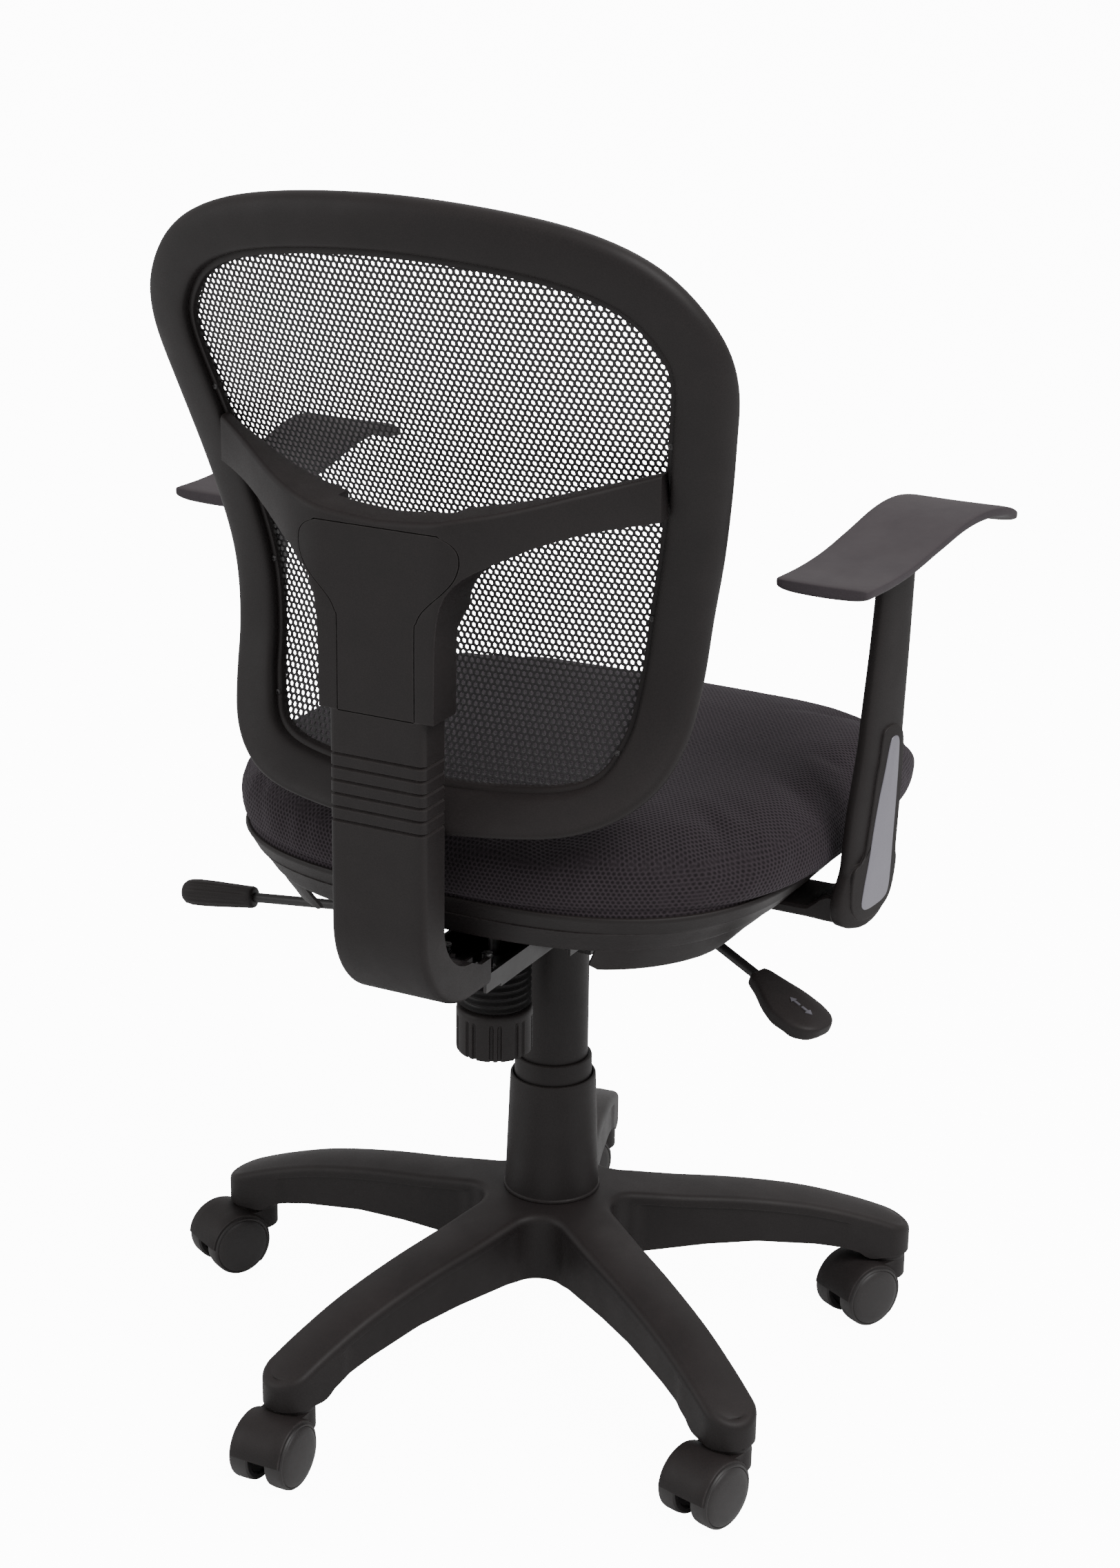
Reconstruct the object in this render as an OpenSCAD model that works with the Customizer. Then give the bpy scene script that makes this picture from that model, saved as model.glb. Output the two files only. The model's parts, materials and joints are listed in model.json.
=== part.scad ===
// Swivel office chair with a mesh back, T arms, a gas lift and a five-armed base on twin-wheel casters.
// +Z is up, the sitter faces -Y, and the origin is on the floor under the column. Millimetres.

/* [Base] */
// Distance from the column to each caster stem
stem_circle = 276; // [265:1:290]
// Turn of the first leg from +X, in degrees
base_turn = 1.4; // [0:0.1:10]
// Width of a leg at its hub end
leg_root_w = 48; // [44:1:52]
// Width of a leg at its tip
leg_tip_w = 41; // [39:1:44]
// Wall of the moulded base
base_wall = 4; // [3:0.5:5]

/* [Casters] */
// Radius of a caster wheel
wheel_r = 25.5; // [25:0.1:26]
// Distance from the swivel stem back to the axle
trail = 25.5; // [24:0.5:27]
// Half width over the two wheels of a caster
wheel_outer = 24.5; // [23:0.5:25]
// Trailing direction of each caster from +X, in degrees
caster_heading = [62, 90, 75, 62, 70];

/* [Column] */
// Radius of the outer tube of the gas lift
tube_r = 25; // [25:0.1:25.2]
// Radius of the moving cylinder of the gas lift
cylinder_r = 14; // [13.5:0.1:14]
// Height of the top of the lower cover
lower_cover_top = 232; // [226:1:236]
// Height of the top of the middle cover
middle_cover_top = 248; // [244:1:252]

/* [Mechanism] */
// Height of the underside of the mechanism
housing_bottom = 350; // [348:1:352]
// Half width of the pressed steel housing
housing_half_w = 46; // [45:1:48]
// Distance of the recline pivot behind the column
pivot_y = 40; // [38:1:42]
// Height of the recline pivot
pivot_z = 375; // [373:1:376]
// Distance of the tension knob behind the column
knob_y = 97; // [95:1:99]
// Radius of the tension knob
knob_r = 28.8; // [27:0.1:30]

/* [Seat] */
// Half width of the pan at its rim
pan_half_w = 219; // [215:1:222]
// Height of the underside of the pan
pan_bottom = 420; // [420:0.5:421]
// Height of the rim of the pan
pan_rim = 451; // [450:1:453]
// Half width of the cushion
cushion_half_w = 238; // [232:1:240]
// Height of the crown of the cushion
cushion_top = 508; // [500:1:512]

/* [Arms] */
// Distance of the outer face of each arm upright from the middle
arm_x = 266; // [264:1:268]
// Height of the underside of the arm pads
pad_underside = 668; // [664:1:670]

/* [Back] */
// Half width of the spine
spine_half_w = 37.5; // [36:0.5:39]
// Rear face of the spine behind the column
spine_rear = 267; // [265:1:269]
// Depth of the back frame moulding
frame_depth = 20; // [16:1:22]

/* [Hidden] */
$fn = 64;
eps = 0.01;
run_gap = 0.06;        // radial clearance of a running fit
soft_gap = 0.4;        // clearance kept around soft pieces

hub_r = 44;
hub_top = 134;
socket_bottom = 55;
stem_r = 5.5;
axle_r = 3;
web_half = 6.5;        // half thickness of the middle web of a caster
hood_r = 28.4;
neck_r = 18.4;

rod_r = 5;
tube_bottom = 62;
tube_top = 240;
lift_cylinder_bottom = 178;
lift_cylinder_top = 402;

housing_top = 417;
plate_t = 3;
sheet_t = 2.5;         // pressed steel thickness
bar_half_w = 33;
bar_bottom = 367;
bar_flange_top = 383;
knob_bottom = 290;
knob_top = 327;

j_r_out = 67;          // outer radius of the curve under the spine
j_r_in = 42;
j_centre = [spine_rear - j_r_out, 445];
spine_front = spine_rear - 29;
spine_top = 738;
spine_tail = 172;

// Upper and lower outline of a leg, as distance from the column and height.
leg_top = [[0, 131], [52, 130], [104, 125.5], [156, 119], [208, 109], [250, 96], [281, 83], [293, 76], [298, 68]];
leg_under = [[298, socket_bottom], [255, socket_bottom], [253, 61], [243, 65], [215, 72], [166, 79], [120, 80],
             [73, 78], [0, 74]];

// Lever ends: where each lever leaves the housing, and its direction.
lift_lever_at = [-46, -33, 394];
lift_lever_dir = [0, 18.5, 162.8];
tilt_lever_at = [46, 28.5, 361];
tilt_lever_dir = [0, 4.8, 5.8];

// Half of the middle line of the back frame, seen from behind: distance from the middle, height.
frame_half = [[0, 927], [73, 923], [130, 913], [170, 895], [195, 866], [203, 836], [196, 790], [182, 720],
              [171, 666], [165, 614], [160, 578], [146, 550], [116, 533], [60, 526], [0, 524]];

// ---------- shared shapes ----------

// A ring or tube standing on z = low.
module tube(r_out, r_in, low, high) {
    translate([0, 0, low]) difference() {
        cylinder(r = r_out, h = high - low);
        translate([0, 0, -1]) cylinder(r = r_in, h = high - low + 2);
    }
}

// A cylinder along X or Y, centred on the origin.
module x_cylinder(r, h) { rotate([0, 90, 0]) cylinder(r = r, h = h, center = true); }
module y_cylinder(r, h) { rotate([90, 0, 0]) cylinder(r = r, h = h, center = true); }

// A box given by its lowest and highest corners.
module box(low, high) { translate(low) cube(high - low); }

// An outline in (y, z) made solid across X.
module across_x(half_w, outline) {
    rotate([90, 0, 90]) translate([0, 0, -half_w]) linear_extrude(2 * half_w) polygon(outline);
}

// A closed outline of the seat: rounder behind than in front.
function seat_outline(a, rear, front, n = 72) =
    [for (i = [0:n - 1]) let (t = 360 * i / n, c = cos(t), s = sin(t), p = s > 0 ? 2.9 : 3.6)
        [a * sign(c) * pow(abs(c), 2 / p), (s > 0 ? rear : front) * sign(s) * pow(abs(s), 2 / p)]];

module seat_layer(a, rear, front, low, high) {
    translate([0, 0, low]) linear_extrude(high - low) polygon(seat_outline(a, rear, front));
}

// Catmull-Rom point between p1 and p2.
function between(p0, p1, p2, p3, t) =
    0.5 * (2 * p1 + (p2 - p0) * t + (2 * p0 - 5 * p1 + 4 * p2 - p3) * t * t
    + (3 * p1 - p0 - 3 * p2 + p3) * t * t * t);

// A closed loop of points through the given ones, with extra points between them.
function smooth_loop(pts, extra) = let (n = len(pts))
    [for (i = [0:n - 1], k = [0:extra - 1])
        between(pts[(i + n - 1) % n], pts[i], pts[(i + 1) % n], pts[(i + 2) % n], k / extra)];

// Skin over a closed stack of rings that each have the same number of points.
module ring_skin(rings) {
    n = len(rings);
    m = len(rings[0]);
    polyhedron([for (r = rings) each r],
        [for (i = [0:n - 1], j = [0:m - 1]) let (a = i * m, b = ((i + 1) % n) * m, k = (j + 1) % m)
            each [[a + j, b + j, b + k], [a + j, b + k, a + k]]], convexity = 8);
}

// ---------- base and casters ----------

// One leg along +X: its side outline cut by its tapered plan, with a rounded tip.
module leg_block(drop, inset, from, to) {
    tip = leg_tip_w / 2 - inset;
    root = leg_root_w / 2 - inset;
    side = concat([for (p = leg_top) p - [0, drop]], [for (p = leg_under) p - [0, drop > 0 ? 30 : 0]]);
    intersection() {
        rotate([90, 0, 0]) translate([0, 0, -40]) linear_extrude(80) polygon(side);
        union() {
            linear_extrude(200) polygon([[from, -root], [to, -tip], [to, tip], [from, root]]);
            if (inset == 0) translate([stem_circle, 0, 0]) cylinder(r = tip, h = 200);
        }
    }
}

module base_star() {
    color([0.12, 0.11, 0.12]) difference() {
        union() {
            for (k = [0:4]) rotate(base_turn + 72 * k) difference() {
                leg_block(0, 0, 0, stem_circle);
                leg_block(base_wall + 1, base_wall, hub_r + 4, stem_circle - leg_tip_w / 2 - 2);
            }
            translate([0, 0, 72]) cylinder(r = hub_r, h = hub_top - 72);
        }
        translate([0, 0, 60]) cylinder(r = 30, h = 100);
        for (k = [0:4]) rotate(base_turn + 72 * k) translate([stem_circle, 0, 0])
            cylinder(r = stem_r + run_gap, h = 78);
    }
}

module hub_ring() { color("silver") tube(30, tube_r, 74, 130); }

// Puts its children at leg k: origin on the floor under the stem, +X trailing.
module at_caster(k) {
    rotate(base_turn + 72 * k) translate([stem_circle, 0, 0])
        rotate(caster_heading[k] - base_turn - 72 * k) children();
}

module hood(k) {
    color([0.13, 0.12, 0.13]) at_caster(k) difference() {
        union() {
            translate([trail, 0, wheel_r]) y_cylinder(hood_r, 2 * wheel_outer - 6);
            translate([0, 0, 33]) cylinder(r = neck_r, h = socket_bottom - 33.6);
            box([0, -neck_r, wheel_r + 8], [trail, neck_r, wheel_r + 25]);
        }
        for (s = [-1, 1]) translate([trail, s * (web_half + 12), wheel_r]) y_cylinder(wheel_r + 1, 24);
        translate([trail, 0, wheel_r]) rotate([0, -28, 0]) box([-60, -40, -60], [60, 40, -11]);
        translate([0, 0, 20]) cylinder(r = stem_r, h = 60);
        translate([trail, 0, wheel_r]) y_cylinder(axle_r, 30);
    }
}

module pins(k) {
    color("silver") at_caster(k) {
        translate([0, 0, 34]) cylinder(r = stem_r, h = 43.5);
        translate([trail, 0, wheel_r]) y_cylinder(axle_r, 2 * wheel_outer - 6);
    }
}

module wheels(k) {
    face = wheel_outer;
    color([0.1, 0.1, 0.1]) at_caster(k) translate([trail, 0, wheel_r]) for (s = [0, 1])
        mirror([0, s, 0]) rotate([-90, 0, 0]) rotate_extrude()
            polygon([[axle_r + run_gap, web_half + 0.5], [wheel_r - 2, web_half + 0.5], [wheel_r, web_half + 2.5],
                     [wheel_r, face - 3.5], [wheel_r - 1.5, face - 1], [wheel_r - 6, face + 0.6],
                     [12, face + 1.4], [0, face + 1.8], [0, face - 2.5], [axle_r + run_gap, face - 2.5]]);
}

// ---------- gas lift and its covers ----------

module column_tube() {
    color([0.15, 0.15, 0.16]) {
        tube(tube_r, 22.5, tube_bottom, tube_top);
        tube(22.5 + eps, rod_r + 0.3, tube_bottom + 6, tube_bottom + 10);
    }
}

module tube_bush() { color([0.8, 0.8, 0.78]) tube(22.5, cylinder_r + run_gap, 150, tube_top - 2); }

module piston_rod() {
    color("silver") {
        translate([0, 0, tube_bottom - 2]) cylinder(r = rod_r, h = 204);
        tube(8, rod_r - eps, tube_bottom + 16, tube_bottom + 20);
        tube(10.9, rod_r - eps, 250, 258);
    }
}

module thrust_bearing() { color("silver") tube(12, rod_r + 0.1, tube_bottom + 10, tube_bottom + 16); }

module rod_clip() { color("silver") tube(9, rod_r, tube_bottom + 2, tube_bottom + 5.8); }

module gas_cylinder() {
    color([0.2, 0.2, 0.22]) {
        difference() {
            translate([0, 0, lift_cylinder_bottom])
                cylinder(r = cylinder_r, h = lift_cylinder_top - lift_cylinder_bottom);
            translate([0, 0, lift_cylinder_bottom + 8])
                cylinder(r = 11, h = lift_cylinder_top - lift_cylinder_bottom - 30);
            translate([0, 0, lift_cylinder_bottom - 1]) cylinder(r = rod_r + run_gap, h = 20);
        }
        translate([0, 0, lift_cylinder_top - eps]) cylinder(r = 4, h = 5);
    }
}

module cover_lower() {
    color([0.14, 0.13, 0.13]) rotate_extrude()
        polygon([[34.6, hub_top], [37, hub_top], [37, hub_top + 3], [33.6, lower_cover_top], [31.2, lower_cover_top]]);
}

module cover_middle() {
    top = middle_cover_top;
    color([0.14, 0.13, 0.13]) rotate_extrude()
        polygon([[28.2, top - 94], [30.3, top - 94], [30.3, top], [27.2, top], [27.2, top - 3], [28.2, top - 4]]);
}

module cover_upper() {
    color([0.14, 0.13, 0.13]) rotate_extrude()
        polygon([[25.5, 240], [27.9, 240], [27.9, 243], [27, 244], [27, housing_bottom], [25.5, housing_bottom]]);
}

// ---------- tilt mechanism ----------

module tilt_housing() {
    w = housing_half_w;
    color([0.1, 0.1, 0.11]) difference() {
        union() {
            difference() {
                box([-w, -95, housing_bottom], [w, 64, housing_top]);
                box([-w + sheet_t, -95 + sheet_t, housing_bottom + sheet_t], [w - sheet_t, 70, housing_top + 1]);
                box([-w - 1, 30, housing_bottom - 1], [w + 1, 70, 362]);
            }
            translate([0, 0, housing_bottom]) cylinder(r = 20, h = 46);
            box([-w + 1, 24, 404], [w - 1, 64, 407]);
            box([-22, 60, 404], [22, 114, 407]);
        }
        translate([0, 0, housing_bottom - 1]) cylinder(r = cylinder_r, h = 60);
        translate([0, knob_y, 395]) cylinder(r = rod_r, h = 20);
        translate([0, pivot_y, pivot_z]) x_cylinder(5, 120);
        translate(lift_lever_at) rotate(lift_lever_dir) x_cylinder(9, 24);
        translate(tilt_lever_at) rotate(tilt_lever_dir) x_cylinder(7, 24);
    }
}

module seat_bolt_spots() { for (x = [-78, 78], y = [-88, 52]) translate([x, y, 0]) children(); }

module seat_plate() {
    color([0.1, 0.1, 0.11]) difference() {
        box([-94, -104, housing_top], [94, 68, housing_top + plate_t]);
        seat_bolt_spots() translate([0, 0, 400]) cylinder(r = 3, h = 40);
    }
}

module pivot_pin() {
    color("silver") translate([0, pivot_y, pivot_z]) {
        x_cylinder(5, 2 * housing_half_w);
        for (s = [-1, 1]) translate([s * (housing_half_w + 1.5), 0, 0]) x_cylinder(8, 3);
    }
}

module pivot_bushes() {
    mid = (bar_half_w + housing_half_w - sheet_t) / 2;
    long = housing_half_w - sheet_t - bar_half_w - 0.4;
    color([0.85, 0.85, 0.8]) translate([0, pivot_y, pivot_z]) for (s = [-1, 1]) translate([s * mid, 0, 0])
        difference() {
            x_cylinder(8, long);
            x_cylinder(5, long + 2);
        }
}

module tension_bolt() {
    color("silver") {
        translate([0, knob_y, knob_bottom + 4]) cylinder(r = rod_r, h = 407 - knob_bottom - 4);
        translate([0, knob_y, 407 - eps]) cylinder(r = 8.5, h = 6);
    }
}

module tension_knob() {
    color([0.16, 0.15, 0.15]) translate([0, knob_y, 0]) difference() {
        translate([0, 0, knob_bottom]) cylinder(r = knob_r, h = knob_top - knob_bottom);
        translate([0, 0, knob_bottom + 12]) cylinder(r = 18, h = 40);
        translate([0, 0, knob_bottom + 4 - eps]) cylinder(r = rod_r + run_gap, h = 40);
        for (k = [0:8], s = [-5, 5]) rotate(40 * k + s) translate([knob_r + 0.4, 0, knob_bottom - 1])
            cylinder(r = 1.5, h = knob_top - knob_bottom - 5);
    }
}

// The coil runs from the floor of the knob up to the web of the bar.
module tension_spring() {
    low = knob_bottom + 14;
    turns = 6.5;
    steps = 24;
    n = ceil(turns * steps);
    rise = bar_bottom - 2 - low;
    coil = [for (i = [0:n]) let (t = 360 * i / steps)
        [for (j = [0:7]) let (a = 45 * j, r = 13.5 + 1.7 * cos(a))
            [r * cos(t), r * sin(t), low + rise * i / n + 1.7 * sin(a)]]];
    color("silver") translate([0, knob_y, 0]) polyhedron([for (c = coil) each c], concat(
        [for (i = [0:n - 1], j = [0:7]) let (a = i * 8, b = a + 8, k = (j + 1) % 8)
            each [[a + j, a + k, b + k], [a + j, b + k, b + j]]],
        [[for (j = [7:-1:0]) j], [for (j = [0:7]) n * 8 + j]]));
}

module bellows() {
    pleats = 6;
    low = knob_top + 0.3;
    pitch = (bar_bottom - low) / pleats;
    outer = [for (i = [0:pleats - 1]) each [[24, low + i * pitch], [27.6, low + (i + 0.5) * pitch]]];
    color([0.08, 0.08, 0.08]) translate([0, knob_y, 0]) rotate_extrude()
        polygon(concat(outer, [[24, bar_bottom], [19, bar_bottom], [19, low]]));
}

module lever_collar() {
    color([0.2, 0.2, 0.2]) translate(lift_lever_at) rotate(lift_lever_dir) difference() {
        union() {
            x_cylinder(9, 14);
            translate([8.5, 0, 0]) x_cylinder(11.5, 3);
        }
        x_cylinder(6.3 + run_gap, 30);
    }
}

// A rod along +X with a ball at its root.
module ball_rod(ball, r, long) {
    arc = [for (t = [-90:15:45]) ball * [cos(t), sin(t)]];
    rotate([0, 90, 0]) rotate_extrude()
        polygon(concat(arc, [[r, sqrt(ball * ball - r * r)], [r, long], [0, long]]));
}

module lift_lever() {
    color([0.1, 0.1, 0.1]) translate(lift_lever_at) rotate(lift_lever_dir) {
        ball_rod(6.3, 4, 151);
    }
}

// A flat wedge that widens to a rounded end.
module lift_paddle() {
    color([0.13, 0.12, 0.13]) translate(lift_lever_at) rotate(lift_lever_dir) difference() {
        hull() {
            translate([142, 0, -1]) cube([4, 24, 14], center = true);
            translate([186, 0, -5]) cylinder(r = 22, h = 15, $fn = 32);
        }
        x_cylinder(4, 2 * 151);
    }
}

module tilt_lever() {
    color([0.1, 0.1, 0.1]) translate(tilt_lever_at) rotate(tilt_lever_dir) {
        ball_rod(6, 4, 204);
    }
}

module tilt_grip() {
    color([0.16, 0.15, 0.15]) translate(tilt_lever_at) rotate(tilt_lever_dir) rotate([0, 90, 0]) rotate_extrude()
        polygon([[4, 200], [8.5, 200], [9.2, 206], [10.6, 240], [10, 256], [7, 262], [0, 262], [0, 204], [4, 204]]);
}

// ---------- seat ----------

module seat_pan() {
    mid = pan_bottom + 8;
    step = pan_rim - 13;
    color([0.13, 0.12, 0.12]) difference() {
        union() {
            seat_layer(pan_half_w - 20, 195, 206, pan_bottom, mid);
            seat_layer(pan_half_w - 10, 197, 218, mid, step);
            seat_layer(pan_half_w, 200, 230, step, pan_rim);
            skirts();
        }
        seat_layer(pan_half_w - 26, 189, 200, pan_bottom + 4, mid + 5);
        seat_layer(pan_half_w - 16, 191, 212, mid + 4, step + 5);
        seat_layer(pan_half_w - 4, 196, 226, step + 4, pan_rim + 1);
        seat_bolt_spots() translate([0, 0, 400]) cylinder(r = 4, h = 40);
        arm_bolt_spots() translate([0, 0, 400]) cylinder(r = 4.2, h = 40);
    }
}

// The two low side walls that hide the arm brackets, open where a bracket passes.
module skirts() {
    difference() {
        intersection() {
            seat_layer(pan_half_w - 30, 184, 196, pan_bottom - 19, pan_bottom + 1);
            for (s = [-1, 1]) translate([s * 168, 10, 400]) cube([50, 280, 60], center = true);
        }
        seat_layer(pan_half_w - 36, 178, 190, pan_bottom - 20, pan_bottom + 1);
        box([-230, -46, pan_bottom - 20], [230, 26, pan_bottom]);
    }
}

module seat_board() {
    color([0.72, 0.58, 0.42]) difference() {
        seat_layer(pan_half_w - 4.5, 195.5, 225.5, pan_rim - 9, pan_rim);
        seat_bolt_spots() translate([0, 0, 400]) cylinder(r = 3, h = 46);
        arm_bolt_spots() translate([0, 0, 400]) cylinder(r = 4, h = 46);
    }
}

// A plain crowned block: three stacked outlines joined smoothly.
module seat_cushion() {
    a = cushion_half_w;
    low = pan_rim + soft_gap;
    color([0.1, 0.09, 0.1]) hull() {
        seat_layer(a - 14, 202, 238, low, low + 1);
        seat_layer(a, 210, 254, low + 20, low + 26);
        seat_layer(a - 16, 192, 232, cushion_top - 12, cushion_top - 10);
        seat_layer(a - 60, 150, 180, cushion_top - 1, cushion_top);
    }
}

module seat_bolts() {
    color("silver") seat_bolt_spots() {
        translate([0, 0, housing_top]) cylinder(r = 3, h = 29);
        translate([0, 0, housing_top - 4]) cylinder(r = 5.5, h = 4, $fn = 6);
    }
}

// ---------- arms, drawn for the sitter's right and mirrored for the left ----------

module arm_bolt_spots() { for (s = [-1, 1], y = [-18, 12]) translate([s * 170, y, 0]) children(); }

// The frame of an upright: its outer face is the plane x = 0, +X goes inwards and +Y to the rear.
module on_arm() { translate([-arm_x, -20, 0]) rotate(-14) children(); }

// A slice of the upright with round ends, from s0 to s1 along the face and t thick.
module arm_slice(s0, s1, z, t) {
    r = t / 2;
    translate([0, 0, z]) linear_extrude(0.5) polygon(concat(
        [for (a = [180:20:360]) [r + r * cos(a), s0 + r + r * sin(a)]],
        [for (a = [0:20:180]) [r + r * cos(a), s1 - r + r * sin(a)]]));
}

module arm() {
    color([0.14, 0.13, 0.13]) {
        on_arm() {
            hull() { arm_slice(22, 52, 412, 14); arm_slice(4, 61, 424, 18); arm_slice(-3, 52, 459, 17); }
            hull() { arm_slice(-2, 54, 459, 13); arm_slice(-7, 37, 571, 13); }
            hull() { arm_slice(-7, 37, 571, 13); arm_slice(-11, 26, pad_underside - 0.5, 13); }
        }
        difference() {
            union() {
                box([-250, -32, 412], [-150, 22, pan_bottom]);
                box([-250, -14, 412], [-223, 22, 432]);
            }
            arm_bolt_spots() translate([0, 0, 400]) cylinder(r = 4, h = 40);
        }
    }
}

// Side outline of the pad cut by its plan: a low hump towards the front, then a bend down.
module arm_pad() {
    top = [[91, 684], [55, 684], [0, 688], [-60, 695], [-100, 698], [-132, 695], [-155, 686]];
    under = [[-155, 680], [-130, 684], [-98, 685], [-72, 680], [-48, pad_underside], [40, pad_underside], [91, 674]];
    plan = [[-212, 84], [-278, 91], [-281, 40], [-283, -20], [-290, -80], [-299, -128], [-300, -148],
            [-292, -155], [-232, -155], [-222, -148], [-216, -80], [-211, 0]];
    color([0.17, 0.16, 0.17]) intersection() {
        across_x(400, concat(top, under));
        translate([0, 0, 600]) linear_extrude(200) polygon(plan);
    }
}

// The silver teardrop let into the outer face of an arm.
module arm_insert() {
    color([0.6, 0.6, 0.64]) on_arm() rotate([90, 0, -90]) linear_extrude(2.5) hull() {
        translate([-12, 431]) circle(r = 5, $fn = 32);
        translate([-35, 429]) circle(r = 5, $fn = 32);
        translate([-10, 545]) circle(r = 5, $fn = 32);
    }
}

module arm_bolts() {
    color("silver") arm_bolt_spots() {
        translate([0, 0, 412]) cylinder(r = 4, h = 34);
        translate([0, 0, 407]) cylinder(r = 7, h = 5);
    }
}

// ---------- back ----------

// Points of an arc about the centre of the curve under the spine, in (y, z).
function j_arc(r, from, to, n = 12) =
    [for (i = [0:n]) let (t = from + (to - from) * i / n) j_centre + r * [cos(t), sin(t)]];

// The J of the spine, drawn in by a margin on every side.
function j_outline(m, top) = concat(
    [[spine_rear - m, top]], j_arc(j_r_out - m, 0, -90),
    [[spine_tail, j_centre[1] - j_r_out + m], [spine_tail, j_centre[1] - j_r_in - 3 - m]],
    j_arc(j_r_in + m - 4, -90, 0), [[spine_front + m, top]]);

// Flat steel channel under the seat that turns up into a strip inside the spine.
module back_bar() {
    mid_r = 55.5;
    strip = concat(
        [[148, bar_bottom], [152, bar_bottom], [172, 386.5]], j_arc(mid_r + 3, -90, 0),
        [[j_centre[0] + mid_r + 3, 660], [j_centre[0] + mid_r - 3, 660]], j_arc(mid_r - 3, 0, -90),
        [[170, 392.5], [148, bar_bottom + 5]]);
    color([0.25, 0.24, 0.26]) difference() {
        union() {
            across_x(25, strip);
            difference() {
                box([-bar_half_w, 29, bar_bottom], [bar_half_w, 170, bar_flange_top]);
                box([-bar_half_w + sheet_t, 20, bar_bottom + sheet_t], [bar_half_w - sheet_t, 180, 400]);
                box([-60, 148 + eps, bar_bottom - 1], [60, 180, bar_bottom + sheet_t + eps]);
            }
        }
        translate([0, pivot_y, pivot_z]) x_cylinder(5 + run_gap, 120);
        translate([0, knob_y, 360]) cylinder(r = 11, h = 20);
        bar_bolt_spots() translate([0, 0, 360]) cylinder(r = 4, h = 30);
    }
}

module bar_bolt_spots() { for (x = [-17, 17]) translate([x, 140, 0]) children(); }

module bar_bolts() {
    color("silver") bar_bolt_spots() {
        translate([0, 0, bar_bottom]) cylinder(r = 4, h = 20);
        translate([0, 0, bar_bottom - 4]) cylinder(r = 7, h = 4, $fn = 6);
        tube(6.5, 4 - eps, bar_bottom + sheet_t, bar_bottom + sheet_t + 7);
    }
}

// Rear moulding of the spine: a J-shaped channel, open towards the front.
module spine_cover() {
    color([0.12, 0.11, 0.11]) difference() {
        across_x(spine_half_w, j_outline(0, spine_top));
        across_x(spine_half_w - 3, concat([[spine_rear - 3, spine_top - 3]], j_arc(j_r_out - 3, 0, -90),
            [[spine_tail - 1, j_centre[1] - j_r_out + 3], [spine_tail - 1, 470], [200, 800],
             [spine_front - 1, spine_top - 3]]));
    }
}

// Front moulding that closes the spine.
module spine_liner() {
    color([0.1, 0.1, 0.1]) across_x(spine_half_w - 3.2, concat([[spine_front + 3, spine_top - 4]],
        j_arc(j_r_in - 1, 0, -76), j_arc(j_r_in - 4, -76, 0), [[spine_front, spine_top - 4]]));
}

// A wing slice: a block at x given by the y and z of its low and high corners.
module wing_slice(x, y0, y1, z0, z1) { translate([x - 0.5, y0, z0]) cube([1, y1 - y0, z1 - z0]); }

module back_yoke() {
    color([0.12, 0.11, 0.11]) {
        for (s = [0, 1]) mirror([s, 0, 0]) {
            hull() { wing_slice(38.2, 226, 265, 668, 739); wing_slice(60, 222, 262, 701, 744); }
            hull() { wing_slice(60, 222, 262, 701, 744); wing_slice(110, 205, 232, 726, 756); }
            hull() { wing_slice(110, 205, 232, 726, 756); wing_slice(162, 182, 195, 739, 769); }
            hull() { wing_slice(162, 182, 195, 739, 769); wing_slice(170, 184, 192, 741, 771); }
            box([37.7, 236, 600], [44, 258, 684]);
        }
        box([-38.7, 215, 668], [38.7, spine_front - 0.3, 738]);
    }
}

// Rear surface of the back: forward at the waist, back at the top, and wrapped round the sitter.
function back_y(x, z) = let (t = (z - 728) / 208)
    193 + 67 * t + 50 * t * t - 56 * t * t * t - 0.00072 * x * x;

frame_loop = smooth_loop(concat(frame_half, [for (i = [len(frame_half) - 2:-1:1])
    [-frame_half[i][0], frame_half[i][1]]]), 3);

// Half width of the frame band at a height: slimmer along the bottom.
function band(z) = z < 560 ? 13 + (z - 524) * 0.14 : 18.5;

// Point on the back surface, moved out across the band and forward through its depth.
function frame_point(i, out, forward) = let (
    n = len(frame_loop), p = frame_loop[i], q = frame_loop[(i + 1) % n], o = frame_loop[(i + n - 1) % n],
    along = (q - o) / norm(q - o), x = p[0] + out * along[1] * -1, z = p[1] + out * along[0])
    [x, back_y(x, z) - forward, z];

// A band round the frame: its section is a flat octagon between two depths.
module frame_band(out_lo, out_hi, near, far) {
    r = (far - near) * 0.3;
    ring_skin([for (i = [0:len(frame_loop) - 1]) let (b = band(frame_loop[i][1]), lo = out_lo * b, hi = out_hi * b)
        [for (s = [[lo, near + r], [lo + r, near], [hi - r, near], [hi, near + r],
                   [hi, far - r], [hi - r, far], [lo + r, far], [lo, far - r]]) frame_point(i, s[0], s[1])]]);
}

module back_frame() { color([0.14, 0.13, 0.13]) frame_band(-1, 1, 0, frame_depth); }

// Places of the small screws round the ring, as (x, y, z) on its rear face.
ring_spots = [for (i = [18, 24, 32], s = [-1, 1])
    let (p = frame_point(i, -1.185 * band(frame_loop[i][1]), 6)) [s * p[0], p[1], p[2]]];

module mesh_ring() {
    color([0.1, 0.1, 0.1]) difference() {
        frame_band(-1.35, -1.02, 6, 13);
        for (p = ring_spots) translate([p[0], p[1] + 4, p[2]]) y_cylinder(2.05, 12);
    }
}

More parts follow.
